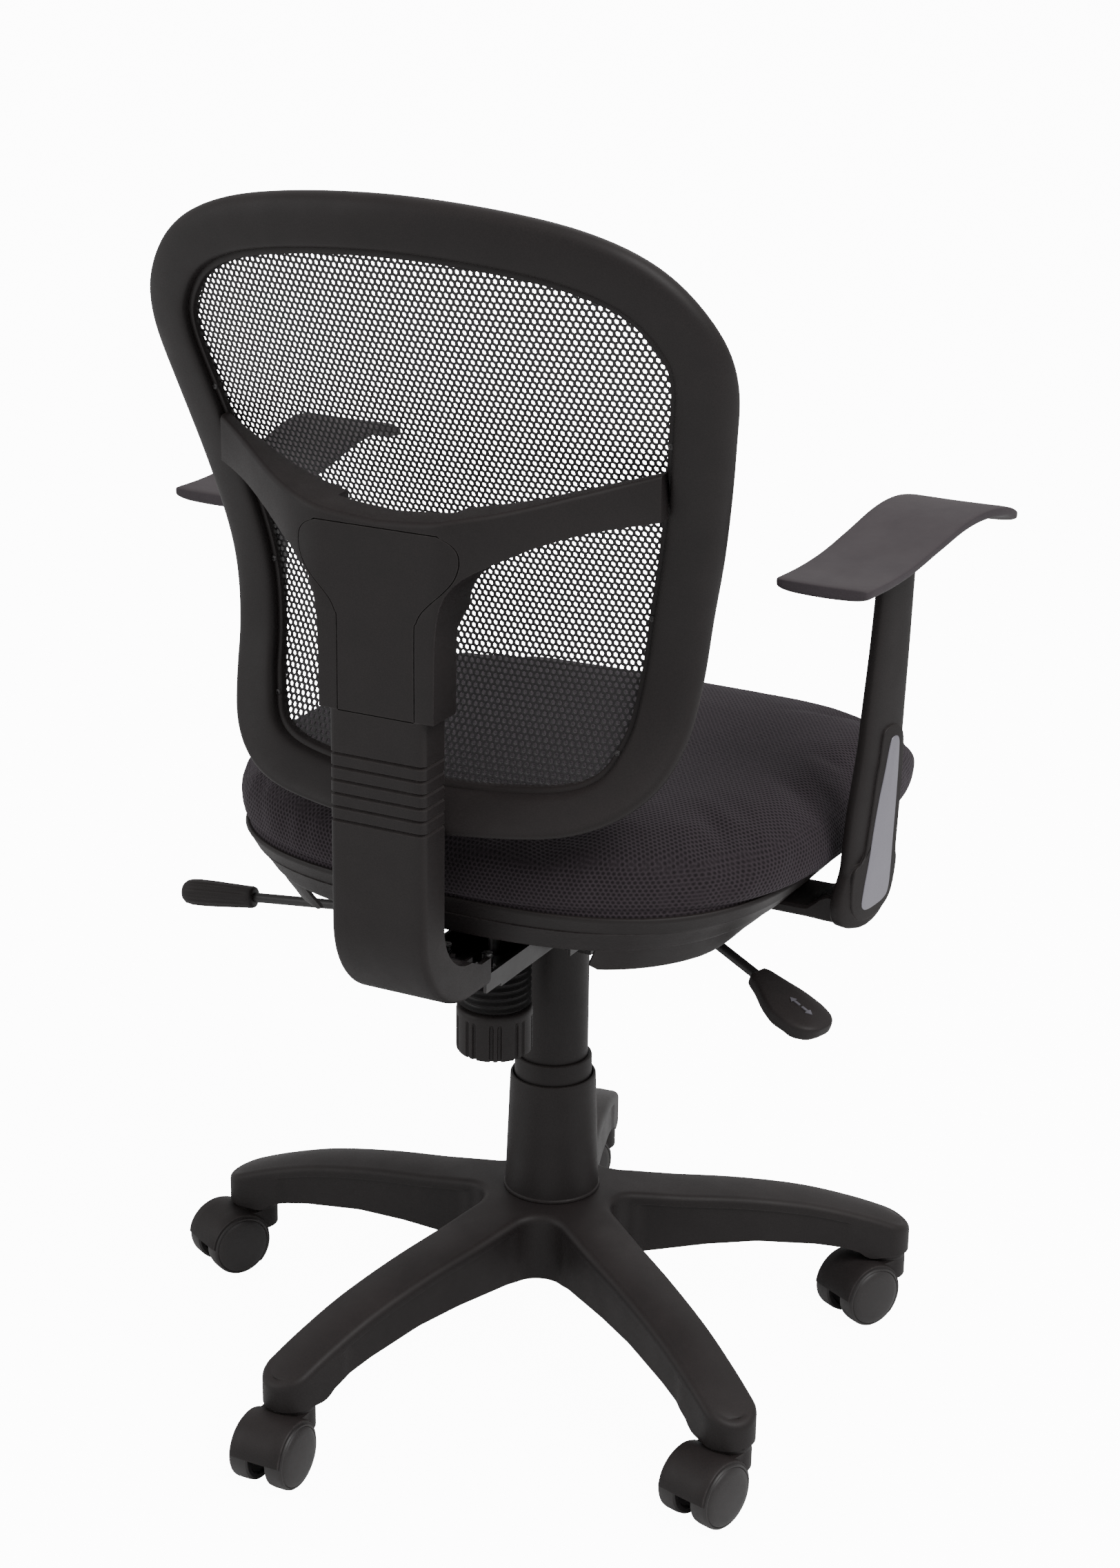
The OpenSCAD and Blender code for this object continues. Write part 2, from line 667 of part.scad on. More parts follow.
// The stretched sheet: rings of points from the middle of the back out to its edge in the ring.
module back_mesh() {
    rings = 7;
    n = len(frame_loop);
    mid = [0, 720];
    thick = 1.2;
    depth = 14.5;
    function edge(i) = let (p = frame_point(i, -1.2 * band(frame_loop[i][1]), 0)) [p[0], p[2]];
    function at(i, k, d) = let (q = mid + (edge(i) - mid) * (k + 1) / rings) [q[0], back_y(q[0], q[1]) - d, q[1]];
    pts = concat(
        [[0, back_y(0, mid[1]) - depth, mid[1]]], [for (k = [0:rings - 1], i = [0:n - 1]) at(i, k, depth)],
        [[0, back_y(0, mid[1]) - depth - thick, mid[1]]], [for (k = [0:rings - 1], i = [0:n - 1]) at(i, k, depth + thick)]);
    side = 1 + rings * n;
    fan = [for (i = [0:n - 1]) [0, 1 + (i + 1) % n, 1 + i]];
    sheet = [for (k = [0:rings - 2], i = [0:n - 1]) let (a = 1 + k * n, b = a + n, j = (i + 1) % n)
        each [[a + i, a + j, b + j], [a + i, b + j, b + i]]];
    rim = 1 + (rings - 1) * n;
    color([0.05, 0.05, 0.05]) polyhedron(pts, concat(fan, sheet,
        [for (f = concat(fan, sheet)) [f[0] + side, f[2] + side, f[1] + side]],
        [for (i = [0:n - 1]) let (j = (i + 1) % n) each
            [[rim + i, rim + j, rim + j + side], [rim + i, rim + j + side, rim + i + side]]]), convexity = 4);
}

module frame_screws() {
    color("silver") for (p = ring_spots) translate(p) y_cylinder(2, 4);
}

// ---------- nodes ----------

base_star();
hub_ring();
column_tube();
tube_bush();
piston_rod();
thrust_bearing();
rod_clip();
cover_lower();
cover_middle();
cover_upper();
gas_cylinder();
hood(0);  // hood_1
hood(1);  // hood_2
hood(2);  // hood_3
hood(3);  // hood_4
hood(4);  // hood_5
pins(0);  // pins_1
pins(1);  // pins_2
pins(2);  // pins_3
pins(3);  // pins_4
pins(4);  // pins_5
wheels(0);  // wheels_1
wheels(1);  // wheels_2
wheels(2);  // wheels_3
wheels(3);  // wheels_4
wheels(4);  // wheels_5
tilt_housing();
seat_plate();
pivot_pin();
pivot_bushes();
tension_bolt();
tension_knob();
tension_spring();
bellows();
lever_collar();
lift_lever();
lift_paddle();
tilt_lever();
tilt_grip();
seat_pan();
seat_board();
seat_cushion();
seat_bolts();
arm();  // arm_right
mirror([1, 0, 0]) arm();  // arm_left
arm_pad();  // arm_pad_right
mirror([1, 0, 0]) arm_pad();  // arm_pad_left
arm_insert();  // arm_insert_right
mirror([1, 0, 0]) arm_insert();  // arm_insert_left
arm_bolts();
back_bar();
bar_bolts();
spine_cover();
spine_liner();
back_yoke();
back_frame();
mesh_ring();
back_mesh();
frame_screws();
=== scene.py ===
import sys
import json
import logging
import math
from dataclasses import dataclass, field
from enum import Enum
from typing import Sequence

import bmesh
import bpy
import numpy as np
from mathutils import Matrix, Vector


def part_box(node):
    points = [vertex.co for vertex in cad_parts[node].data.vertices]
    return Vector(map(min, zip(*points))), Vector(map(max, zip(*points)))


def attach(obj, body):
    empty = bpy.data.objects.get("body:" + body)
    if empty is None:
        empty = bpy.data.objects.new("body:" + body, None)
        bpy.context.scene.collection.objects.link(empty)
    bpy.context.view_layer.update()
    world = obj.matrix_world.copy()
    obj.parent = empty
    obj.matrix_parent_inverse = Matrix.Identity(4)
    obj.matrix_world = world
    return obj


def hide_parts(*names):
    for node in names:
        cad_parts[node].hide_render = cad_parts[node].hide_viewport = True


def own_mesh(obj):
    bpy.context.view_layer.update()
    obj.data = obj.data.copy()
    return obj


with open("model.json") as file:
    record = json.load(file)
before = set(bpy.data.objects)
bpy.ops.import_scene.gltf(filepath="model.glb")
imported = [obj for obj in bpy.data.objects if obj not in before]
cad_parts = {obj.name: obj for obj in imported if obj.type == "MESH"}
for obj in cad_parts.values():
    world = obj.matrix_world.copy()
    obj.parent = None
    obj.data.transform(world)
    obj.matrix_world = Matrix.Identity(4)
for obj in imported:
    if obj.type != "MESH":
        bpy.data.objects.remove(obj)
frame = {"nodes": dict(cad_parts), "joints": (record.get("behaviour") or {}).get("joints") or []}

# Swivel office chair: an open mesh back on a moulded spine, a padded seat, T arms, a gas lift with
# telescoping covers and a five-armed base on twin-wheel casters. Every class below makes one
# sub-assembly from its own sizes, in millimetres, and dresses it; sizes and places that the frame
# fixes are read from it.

MM = 0.001
Numbers = float | np.ndarray
Input = bpy.types.NodeSocket | float | tuple
LOG = logging.getLogger("chair")
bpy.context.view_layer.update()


# ---------------------------------------------------------------- curves and meshes


def ease(low: float, high: float, value: Numbers) -> np.ndarray:
    """A smooth step from 0 at low to 1 at high.

    Args:
        low: Where the step starts.
        high: Where it ends.
        value: A number or an array.

    Returns:
        The step's value, of the same shape as value.
    """
    t = np.clip((np.asarray(value, float) - low) / (high - low), 0.0, 1.0)
    return t * t * (3.0 - 2.0 * t)


def smooth_path(points: Sequence, count: int, closed: bool = False) -> np.ndarray:
    """A smooth curve through control points, evenly spaced along its length.

    Args:
        points: Control points of any dimension.
        count: How many points to return.
        closed: Whether the curve joins up with its start.

    Returns:
        An array of count points.
    """
    p = np.asarray(points, float)
    n = len(p)
    dense = []
    for i in range(n if closed else n - 1):
        if closed:
            a, b, c, d = p[(i - 1) % n], p[i], p[(i + 1) % n], p[(i + 2) % n]
        else:
            b, c = p[i], p[i + 1]
            a = p[i - 1] if i else 2 * b - c
            d = p[i + 2] if i + 2 < n else 2 * c - b
        for t in np.linspace(0, 1, 24, endpoint=False):
            dense.append(0.5 * (2 * b + (c - a) * t + (2 * a - 5 * b + 4 * c - d) * t * t
                                + (3 * b - a - 3 * c + d) * t ** 3))
    dense.append(p[0] if closed else p[-1])
    dense = np.array(dense)
    along = np.concatenate([[0], np.cumsum(np.linalg.norm(np.diff(dense, axis=0), axis=1))])
    want = np.linspace(0, along[-1], count + 1)[:-1] if closed else np.linspace(0, along[-1], count)
    return np.stack([np.interp(want, along, dense[:, k]) for k in range(dense.shape[1])], axis=1)


def profile(points: Sequence, value: Numbers) -> Numbers:
    """The smooth height of a curve given as (place, height) points.

    Args:
        points: Control points in rising order of place.
        value: The place or places asked for.

    Returns:
        The height at each place.
    """
    fine = smooth_path(points, 240)
    return np.interp(value, fine[:, 0], fine[:, 1])


def offset_curve(points: np.ndarray, distance: float) -> np.ndarray:
    """Moves an open plane curve sideways, to the left of its direction.

    Args:
        points: Points of the curve, in two dimensions.
        distance: How far to move it.

    Returns:
        The moved points.
    """
    tangent = np.gradient(points, axis=0)
    tangent /= np.linalg.norm(tangent, axis=1)[:, None]
    return points + distance * np.stack([-tangent[:, 1], tangent[:, 0]], axis=1)


class Shell:
    """Collects the faces of one piece, in millimetres, and turns them into an object."""

    def __init__(self) -> None:
        """Starts with no faces."""
        self.points: list = []
        self.faces: list = []

    def grid(self, rows: np.ndarray, wrap_rows: bool = False, wrap_columns: bool = False) -> "Shell":
        """Adds a sheet of quads.

        Args:
            rows: An array of shape (rows, columns, 3).
            wrap_rows: Whether the last row joins the first.
            wrap_columns: Whether the last column joins the first.

        Returns:
            This shell.
        """
        rows = np.asarray(rows, float)
        r, c = rows.shape[:2]
        start = len(self.points)
        self.points.extend(rows.reshape(-1, 3).tolist())
        for i in range(r if wrap_rows else r - 1):
            for j in range(c if wrap_columns else c - 1):
                k, m = (i + 1) % r, (j + 1) % c
                self.faces.append((start + i * c + j, start + i * c + m, start + k * c + m, start + k * c + j))
        return self

    def cap(self, ring: np.ndarray) -> "Shell":
        """Closes a ring with triangles that meet at its middle."""
        ring = np.asarray(ring, float)
        start = len(self.points)
        self.points.extend(ring.tolist())
        self.points.append(ring.mean(axis=0).tolist())
        n = len(ring)
        self.faces.extend((start + i, start + (i + 1) % n, start + n) for i in range(n))
        return self

    def loft(self, rings: Sequence, closed: bool = False, caps: bool = True) -> "Shell":
        """Skins a stack of rings with equal counts.

        Args:
            rings: The rings in order.
            closed: Whether the last ring joins the first.
            caps: Whether to close the two ends of an open stack.

        Returns:
            This shell.
        """
        rings = np.asarray(rings, float)
        self.grid(rings, wrap_rows=closed, wrap_columns=True)
        if caps and not closed:
            self.cap(rings[0])
            self.cap(rings[-1])
        return self

    def turn(self, outline: Sequence, segments: int = 64, place: Matrix = Matrix(), closed: bool = False) -> "Shell":
        """Spins an outline of (radius, height) points about Z, then places it.

        Args:
            outline: Points from one end of the piece to the other.
            segments: Steps round the circle.
            place: Where the spun shape goes, in millimetres.
            closed: Whether the outline is a loop.

        Returns:
            This shell.
        """
        outline = np.asarray(outline, float)
        angles = np.linspace(0, 2 * math.pi, segments, endpoint=False)
        rows = np.stack([np.stack([outline[:, 0] * math.cos(a), outline[:, 0] * math.sin(a), outline[:, 1]], axis=1)
                         for a in angles])
        move = np.array(place)
        return self.grid(rows @ move[:3, :3].T + move[:3, 3], wrap_rows=True, wrap_columns=closed)

    def object(self, name: str, weld: float = 0.02) -> bpy.types.Object:
        """Makes the object, in metres, with doubled points welded and faces turned outwards.

        Args:
            name: The piece's name.
            weld: Points closer than this, in millimetres, become one.

        Returns:
            The new object, in the scene.
        """
        mesh = bpy.data.meshes.new(name)
        mesh.from_pydata((np.asarray(self.points) * MM).tolist(), [], self.faces)
        work = bmesh.new()
        work.from_mesh(mesh)
        bmesh.ops.remove_doubles(work, verts=work.verts, dist=weld * MM)
        bmesh.ops.dissolve_degenerate(work, edges=work.edges, dist=weld * MM * 0.5)
        bmesh.ops.recalc_face_normals(work, faces=work.faces)
        work.to_mesh(mesh)
        work.free()
        piece = bpy.data.objects.new(name, mesh)
        bpy.context.scene.collection.objects.link(piece)
        return piece


def round_edges(piece: bpy.types.Object, width: float, segments: int = 3, angle: float = 32) -> None:
    """Rounds the edges that are sharper than an angle.

    Args:
        piece: The object.
        width: Width of the rounding in millimetres.
        segments: Steps across it.
        angle: Edges that turn by more than this many degrees are rounded.
    """
    bevel = piece.modifiers.new("rounding", "BEVEL")
    bevel.width = width * MM
    bevel.segments = segments
    bevel.limit_method = "ANGLE"
    bevel.angle_limit = math.radians(angle)
    bevel.use_clamp_overlap = True
    bevel.miter_outer = "MITER_ARC"


def subdivide(piece: bpy.types.Object, levels: int = 1) -> None:
    """Smooths a piece by subdivision."""
    step = piece.modifiers.new("smoothing", "SUBSURF")
    step.levels = step.render_levels = levels


def cut(piece: bpy.types.Object, *tools: bpy.types.Object, join: bool = False) -> None:
    """Cuts the tools out of a piece, or joins them to it, and removes the tools.

    Args:
        piece: The object that keeps the result.
        tools: Closed shapes.
        join: Whether to add them instead of cutting.
    """
    for tool in tools:
        step = piece.modifiers.new("cut", "BOOLEAN")
        step.operation = "UNION" if join else "DIFFERENCE"
        step.solver = "EXACT"
        step.object = tool
    settle(piece)
    for tool in tools:
        bpy.data.objects.remove(tool)


def settle(piece: bpy.types.Object) -> None:
    """Applies every modifier of a piece to its mesh."""
    graph = bpy.context.evaluated_depsgraph_get()
    graph.update()
    made = bpy.data.meshes.new_from_object(piece.evaluated_get(graph))
    old = piece.data
    piece.modifiers.clear()
    piece.data = made
    if old.users == 0:
        bpy.data.meshes.remove(old)


def finish_mesh(piece: bpy.types.Object, angle: float = 38) -> bpy.types.Object:
    """Applies the modifiers, shades the piece smooth and keeps its real edges crisp.

    Args:
        piece: The object.
        angle: Edges that turn by more than this many degrees stay crisp.

    Returns:
        The same object.
    """
    settle(piece)
    mesh = piece.data
    mesh.polygons.foreach_set("use_smooth", [True] * len(mesh.polygons))
    mesh.set_sharp_from_angle(angle=math.radians(angle))
    mesh.update()
    return piece


def join_pieces(first: bpy.types.Object, *others: bpy.types.Object) -> bpy.types.Object:
    """Adds the faces of other pieces to the first and removes them."""
    work = bmesh.new()
    work.from_mesh(first.data)
    for other in others:
        work.from_mesh(other.data)
    work.to_mesh(first.data)
    work.free()
    for other in others:
        bpy.data.objects.remove(other)
    return first


def block(low: Sequence, high: Sequence, name: str = "tool") -> bpy.types.Object:
    """A box between two corners in millimetres, used as a tool for cutting."""
    x0, y0, z0 = low
    x1, y1, z1 = high
    ring = [(x0, y0), (x1, y0), (x1, y1), (x0, y1)]
    rings = [[(x, y, z) for x, y in ring] for z in (z0, z1)]
    return Shell().loft(rings).object(name)


def metric(place: Matrix) -> Matrix:
    """The matrix that does to a mesh in metres what a place does to one in millimetres."""
    return Matrix.Scale(MM, 4) @ place @ Matrix.Scale(1 / MM, 4)


def along(origin: Sequence, direction: Sequence, turn: float = 0.0) -> Matrix:
    """A place whose Z axis points along a direction.

    Args:
        origin: The place's origin in millimetres.
        direction: Where its Z axis points.
        turn: Turn about that axis in radians.

    Returns:
        The placing matrix.
    """
    quaternion = Vector(direction).to_track_quat("Z", "Y")
    return Matrix.Translation(Vector(origin)) @ quaternion.to_matrix().to_4x4() @ Matrix.Rotation(turn, 4, "Z")


def screw_head(place: Matrix, radius: float, height: float, drive: str = "cross",
               name: str = "screw") -> bpy.types.Object:
    """A small domed screw head with its drive cut in.

    Args:
        place: Where the head sits; it stands up along Z.
        radius: Radius of the head in millimetres.
        height: Height of the head.
        drive: "cross" or "hex".
        name: The object's name.

    Returns:
        The head.
    """
    dome = [(0, height), (radius * 0.55, height * 0.96), (radius * 0.88, height * 0.7), (radius, height * 0.3),
            (radius, -0.4), (0, -0.4)]
    head = Shell().turn(dome, 28, place).object(name)
    if drive == "cross":
        tools = []
        for quarter in (0.0, math.pi / 2):
            arm = block((-radius * 0.55, -radius * 0.13, height * 0.35), (radius * 0.55, radius * 0.13, height * 2))
            arm.data.transform(metric(place @ Matrix.Rotation(quarter, 4, "Z")))
            tools.append(arm)
        cut(head, *tools)
    else:
        hexagon = Shell().turn([(0, height * 0.3), (radius * 0.5, height * 0.3), (radius * 0.5, height * 2),
                                (0, height * 2)], 6, place).object("tool")
        cut(head, hexagon)
    return finish_mesh(head, 30)


# ---------------------------------------------------------------- shader groups


class Tree:
    """A small helper that adds and links nodes."""

    def __init__(self, tree: bpy.types.NodeTree) -> None:
        """Keeps the tree."""
        self.tree = tree

    def add(self, kind: str, links: dict | None = None, **settings: object) -> bpy.types.Node:
        """Adds a node, sets its properties and fills its inputs.

        Args:
            kind: The node's type name.
            links: Input name or index to a socket or a value.
            settings: Properties of the node.

        Returns:
            The node.
        """
        node = self.tree.nodes.new(kind)
        for key, value in settings.items():
            setattr(node, key, value)
        for key, value in (links or {}).items():
            if isinstance(value, bpy.types.NodeSocket):
                self.tree.links.new(value, node.inputs[key])
            else:
                node.inputs[key].default_value = value
        return node

    def place(self) -> bpy.types.NodeSocket:
        """The object's own coordinates."""
        return self.add("ShaderNodeTexCoord").outputs["Object"]

    def surface(self, shader: bpy.types.Node, colour: Input, rough: Input, height: Input = None, strength: float = 0.0,
                depth: float = 0.0) -> None:
        """Feeds a shader's colour and roughness, and its normal where there is a height.

        Args:
            shader: The shader node.
            colour: What feeds its colour.
            rough: What feeds its roughness.
            height: The relief.
            strength: How strongly the relief shows.
            depth: Its depth in millimetres.
        """
        self.tree.links.new(colour, shader.inputs["Base Color"])
        self.tree.links.new(rough, shader.inputs["Roughness"])
        if height is not None:
            bump = self.add("ShaderNodeBump", {"Height": height, "Strength": strength, "Distance": depth * MM})
            self.tree.links.new(bump.outputs[0], shader.inputs["Normal"])

    def math(self, operation: str, *values: Input, clamp: bool = False) -> bpy.types.NodeSocket:
        """A Math node's output for the given sockets or numbers."""
        return self.add("ShaderNodeMath", dict(enumerate(values)), operation=operation, use_clamp=clamp).outputs[0]

    def blend(self, factor: Input, first: Input, second: Input, kind: str = "MIX") -> bpy.types.NodeSocket:
        """Mixes two colours and returns the result's socket."""
        node = self.add("ShaderNodeMix", data_type="RGBA", blend_type=kind)
        for index, value in ((0, factor), (6, first), (7, second)):
            if isinstance(value, bpy.types.NodeSocket):
                self.tree.links.new(value, node.inputs[index])
            else:
                node.inputs[index].default_value = value
        return node.outputs[2]


def start_group(name: str, inputs: Sequence, outputs: Sequence) -> tuple:
    """Starts a shader node group with named sockets.

    Args:
        name: The group's name.
        inputs: (name, default) pairs of float inputs.
        outputs: Names of float outputs.

    Returns:
        The group's tree, its helper, its input node and its output node.
    """
    tree = bpy.data.node_groups.new(name, "ShaderNodeTree")
    for label, default in inputs:
        socket = tree.interface.new_socket(name=label, in_out="INPUT", socket_type="NodeSocketFloat")
        socket.default_value = default
    for label in outputs:
        tree.interface.new_socket(name=label, in_out="OUTPUT", socket_type="NodeSocketFloat")
    helper = Tree(tree)
    return tree, helper, tree.nodes.new("NodeGroupInput"), tree.nodes.new("NodeGroupOutput")


class Effects:
    """The effects that several finishes share, each built once as a node group."""

    _made: dict = {}

    @classmethod
    def group(cls, name: str) -> bpy.types.NodeTree:
        """Returns the named group, building it the first time."""
        if name not in cls._made:
            cls._made[name] = getattr(cls, "_" + name)()
        return cls._made[name]

    @staticmethod
    def _grain() -> bpy.types.NodeTree:
        """Fine pebbled texture of a moulded surface: a height and a speckle."""
        tree, t, inp, out = start_group("Moulded grain", [("Cells per metre", 900.0), ("Mottle per metre", 40.0)],
                                        ["Height", "Speckle", "Mottle"])
        place = t.place()
        cells = t.add("ShaderNodeTexVoronoi", {"Vector": place, "Scale": inp.outputs[0], "Randomness": 1.0},
                      feature="SMOOTH_F1")
        fine = t.add("ShaderNodeTexNoise", {"Vector": place, "Scale": inp.outputs[0], "Detail": 2.0,
                                            "Roughness": 0.6})
        mottle = t.add("ShaderNodeTexNoise", {"Vector": place, "Scale": inp.outputs[1], "Detail": 3.0,
                                              "Roughness": 0.55})
        height = t.math("ADD", t.math("MULTIPLY", cells.outputs["Distance"], 0.7),
                        t.math("MULTIPLY", fine.outputs[0], 0.5))
        t.tree.links.new(height, out.inputs["Height"])
        t.tree.links.new(t.math("MULTIPLY_ADD", fine.outputs[0], 2.2, -0.6, clamp=True), out.inputs["Speckle"])
        t.tree.links.new(t.math("MULTIPLY_ADD", mottle.outputs[0], 2.0, -0.5, clamp=True), out.inputs["Mottle"])
        return tree

    @staticmethod
    def _edge_rub_and_highlight() -> bpy.types.NodeTree:
        """Rubbed edges and a painted edge highlight: a mask that is high where the surface turns sharply, and broken
        up by noise.
        """
        tree, t, inp, out = start_group("Edge rub and highlight", [("Reach", 0.0012), ("Break up per metre", 160.0)], ["Mask"])
        place = t.place()
        bevel = t.add("ShaderNodeBevel", {"Radius": inp.outputs[0]}, samples=4)
        normal = t.add("ShaderNodeNewGeometry").outputs["Normal"]
        dot = t.add("ShaderNodeVectorMath", {0: bevel.outputs[0], 1: normal},
                    operation="DOT_PRODUCT").outputs["Value"]
        edge = t.math("MULTIPLY_ADD", dot, -6.0, 6.0, clamp=True)
        noise = t.add("ShaderNodeTexNoise", {"Vector": place, "Scale": inp.outputs[1], "Detail": 3.0})
        broken = t.math("MULTIPLY_ADD", noise.outputs[0], 2.4, -0.6, clamp=True)
        # The mask marks where colours are lightened along edges, partly as rubbed wear and partly as a painted
        # highlight.
        t.tree.links.new(t.math("MULTIPLY", edge, broken), out.inputs["Mask"])
        return tree

    @staticmethod
    def _dust() -> bpy.types.NodeTree:
        """A thin film of dust on surfaces that face up."""
        tree, t, inp, out = start_group("Settled dust", [("Amount", 0.2)], ["Mask"])
        place = t.place()
        normal = t.add("ShaderNodeNewGeometry").outputs["Normal"]
        up = t.add("ShaderNodeSeparateXYZ", {0: normal}).outputs[2]
        noise = t.add("ShaderNodeTexNoise", {"Vector": place, "Scale": 22.0, "Detail": 5.0, "Roughness": 0.65})
        film = t.math("MULTIPLY", t.math("MULTIPLY_ADD", up, 1.3, -0.3, clamp=True), noise.outputs[0])
        t.tree.links.new(t.math("MULTIPLY", film, inp.outputs[0]), out.inputs["Mask"])
        return tree

    @staticmethod
    def _dimple_plane() -> bpy.types.NodeTree:
        """Staggered oval dimples of a spacer knit in a plane given by two coordinates in metres."""
        tree, t, inp, out = start_group("Knit dimples", [("U", 0.0), ("V", 0.0), ("Pitch", 0.0036)], ["Height"])
        pitch = inp.outputs[2]
        u = t.math("DIVIDE", inp.outputs[0], pitch)
        v = t.math("DIVIDE", inp.outputs[1], t.math("MULTIPLY", pitch, 0.8))
        row = t.math("FLOOR", v)
        shift = t.math("MULTIPLY", t.math("MODULO", t.math("ABSOLUTE", row), 2.0), 0.5)
        cu = t.math("SUBTRACT", t.math("FRACT", t.math("ADD", u, shift)), 0.5)
        cv = t.math("MULTIPLY", t.math("SUBTRACT", t.math("FRACT", v), 0.5), 0.85)
        far = t.math("SQRT", t.math("ADD", t.math("MULTIPLY", cu, cu), t.math("MULTIPLY", cv, cv)))
        t.tree.links.new(t.math("MULTIPLY_ADD", far, 3.4, -0.55, clamp=True), out.inputs["Height"])
        return tree

    @staticmethod
    def _knit() -> bpy.types.NodeTree:
        """The spacer knit over any surface: the plane that the surface faces most gives the pattern."""
        tree, t, inp, out = start_group("Spacer knit", [("Pitch", 0.0036)], ["Height", "Thread", "Fade"])
        place = t.add("ShaderNodeSeparateXYZ", {0: t.place()})
        geometry = t.add("ShaderNodeNewGeometry")
        facing = t.add("ShaderNodeSeparateXYZ", {0: geometry.outputs["Normal"]})
        x, y, z = place.outputs
        weights = [t.math("POWER", t.math("ABSOLUTE", s), 6.0) for s in facing.outputs]
        total = t.math("ADD", t.math("ADD", weights[0], weights[1]), weights[2])
        parts = []
        for weight, (a, b) in zip(weights, ((y, z), (x, z), (x, y))):
            plane = t.add("ShaderNodeGroup", node_tree=Effects.group("dimple_plane"))
            for index, value in ((0, a), (1, b), (2, inp.outputs[0])):
                tree.links.new(value, plane.inputs[index])
            parts.append(t.math("MULTIPLY", plane.outputs[0], t.math("DIVIDE", weight, total)))
        height = t.math("ADD", t.math("ADD", parts[0], parts[1]), parts[2])
        fine = t.add("ShaderNodeTexNoise", {"Vector": t.place(), "Scale": 2600.0,
                                            "Detail": 2.0})
        soft = t.add("ShaderNodeTexNoise", {"Vector": t.place(), "Scale": 9.0,
                                            "Detail": 3.0})
        tree.links.new(t.math("ADD", height, t.math("MULTIPLY", fine.outputs[0], 0.35)), out.inputs["Height"])
        tree.links.new(height, out.inputs["Thread"])
        tree.links.new(soft.outputs[0], out.inputs["Fade"])
        return tree


# ---------------------------------------------------------------- finishes


def rgba(colour: Sequence, gain: float = 1.0) -> tuple:
    """A colour with its alpha, scaled by a gain."""
    return (*[min(1.0, c * gain) for c in colour[:3]], 1.0)


def start_material(name: str) -> tuple:
    """A new node material with its tree helper and its Principled shader.

    Args:
        name: The material's name.

    Returns:
        The material, the helper and the shader node.
    """
    material = bpy.data.materials.new(name)
    material.use_nodes = True
    helper = Tree(material.node_tree)
    return material, helper, material.node_tree.nodes["Principled BSDF"]


@dataclass(frozen=True)
class MouldedPlastic:
    """Injection-moulded plastic with a pebbled grain, edges lightened as rubbed wear and painted highlight, and a
    little dust.
    """

    name: str
    colour: tuple = (0.0135, 0.0108, 0.0108)
    roughness: float = 0.5
    cells: float = 900.0
    depth: float = 0.05
    rub_and_highlight: float = 0.35
    dust: float = 0.18
    sheen: float = 0.0

    def material(self) -> bpy.types.Material:
        """Builds the material."""
        made, t, shader = start_material(self.name)
        grain = t.add("ShaderNodeGroup", {0: self.cells, 1: 38.0}, node_tree=Effects.group("grain"))
        edge_rub_and_highlight = t.add("ShaderNodeGroup", {0: 0.0011, 1: 170.0}, node_tree=Effects.group("edge_rub_and_highlight"))
        dust = t.add("ShaderNodeGroup", {0: self.dust}, node_tree=Effects.group("dust"))
        colour = t.blend(grain.outputs["Speckle"], rgba(self.colour, 0.82), rgba(self.colour, 1.22))
        colour = t.blend(t.math("MULTIPLY", grain.outputs["Mottle"], 0.35), colour, rgba(self.colour, 0.7))
        # Sharp edges lightened towards pale grey: partly rubbed wear, partly a painted highlight.
        colour = t.blend(t.math("MULTIPLY", edge_rub_and_highlight.outputs[0], self.rub_and_highlight), colour, rgba((0.085, 0.076, 0.076)))
        colour = t.blend(dust.outputs[0], colour, rgba((0.12, 0.10, 0.098)))
        rough = t.math("MULTIPLY_ADD", grain.outputs["Speckle"], 0.10, self.roughness - 0.05)
        rough = t.math("ADD", rough, t.math("MULTIPLY", grain.outputs["Mottle"], 0.06), clamp=True)
        t.surface(shader, colour, rough, grain.outputs["Height"], 0.55, self.depth)
        shader.inputs["Specular IOR Level"].default_value = 0.26
        return made


@dataclass(frozen=True)
class SmoothPlastic:
    """Smooth nylon or acetal with faint moulding marks, and edges lightened as scuffs and painted highlight."""

    name: str
    colour: tuple
    roughness: float = 0.35
    scuffs_and_highlight: float = 0.25

    def material(self) -> bpy.types.Material:
        """Builds the material."""
        made, t, shader = start_material(self.name)
        place = t.place()
        edge_rub_and_highlight = t.add("ShaderNodeGroup", {0: 0.0009, 1: 240.0}, node_tree=Effects.group("edge_rub_and_highlight"))
        haze = t.add("ShaderNodeTexNoise", {"Vector": place, "Scale": 70.0, "Detail": 5.0, "Roughness": 0.7})
        marks = t.add("ShaderNodeTexNoise", {"Vector": place, "Scale": 420.0, "Detail": 4.0, "Distortion": 1.5})
        colour = t.blend(haze.outputs[0], rgba(self.colour, 0.85), rgba(self.colour, 1.2))
        # Sharp edges lightened: partly scuffs, partly a painted highlight.
        colour = t.blend(t.math("MULTIPLY", edge_rub_and_highlight.outputs[0], self.scuffs_and_highlight), colour, rgba(self.colour, 4.0))
        rough = t.math("MULTIPLY_ADD", haze.outputs[0], 0.2, self.roughness - 0.1, clamp=True)
        t.surface(shader, colour, rough, marks.outputs[0], 0.25, 0.03)
        return made


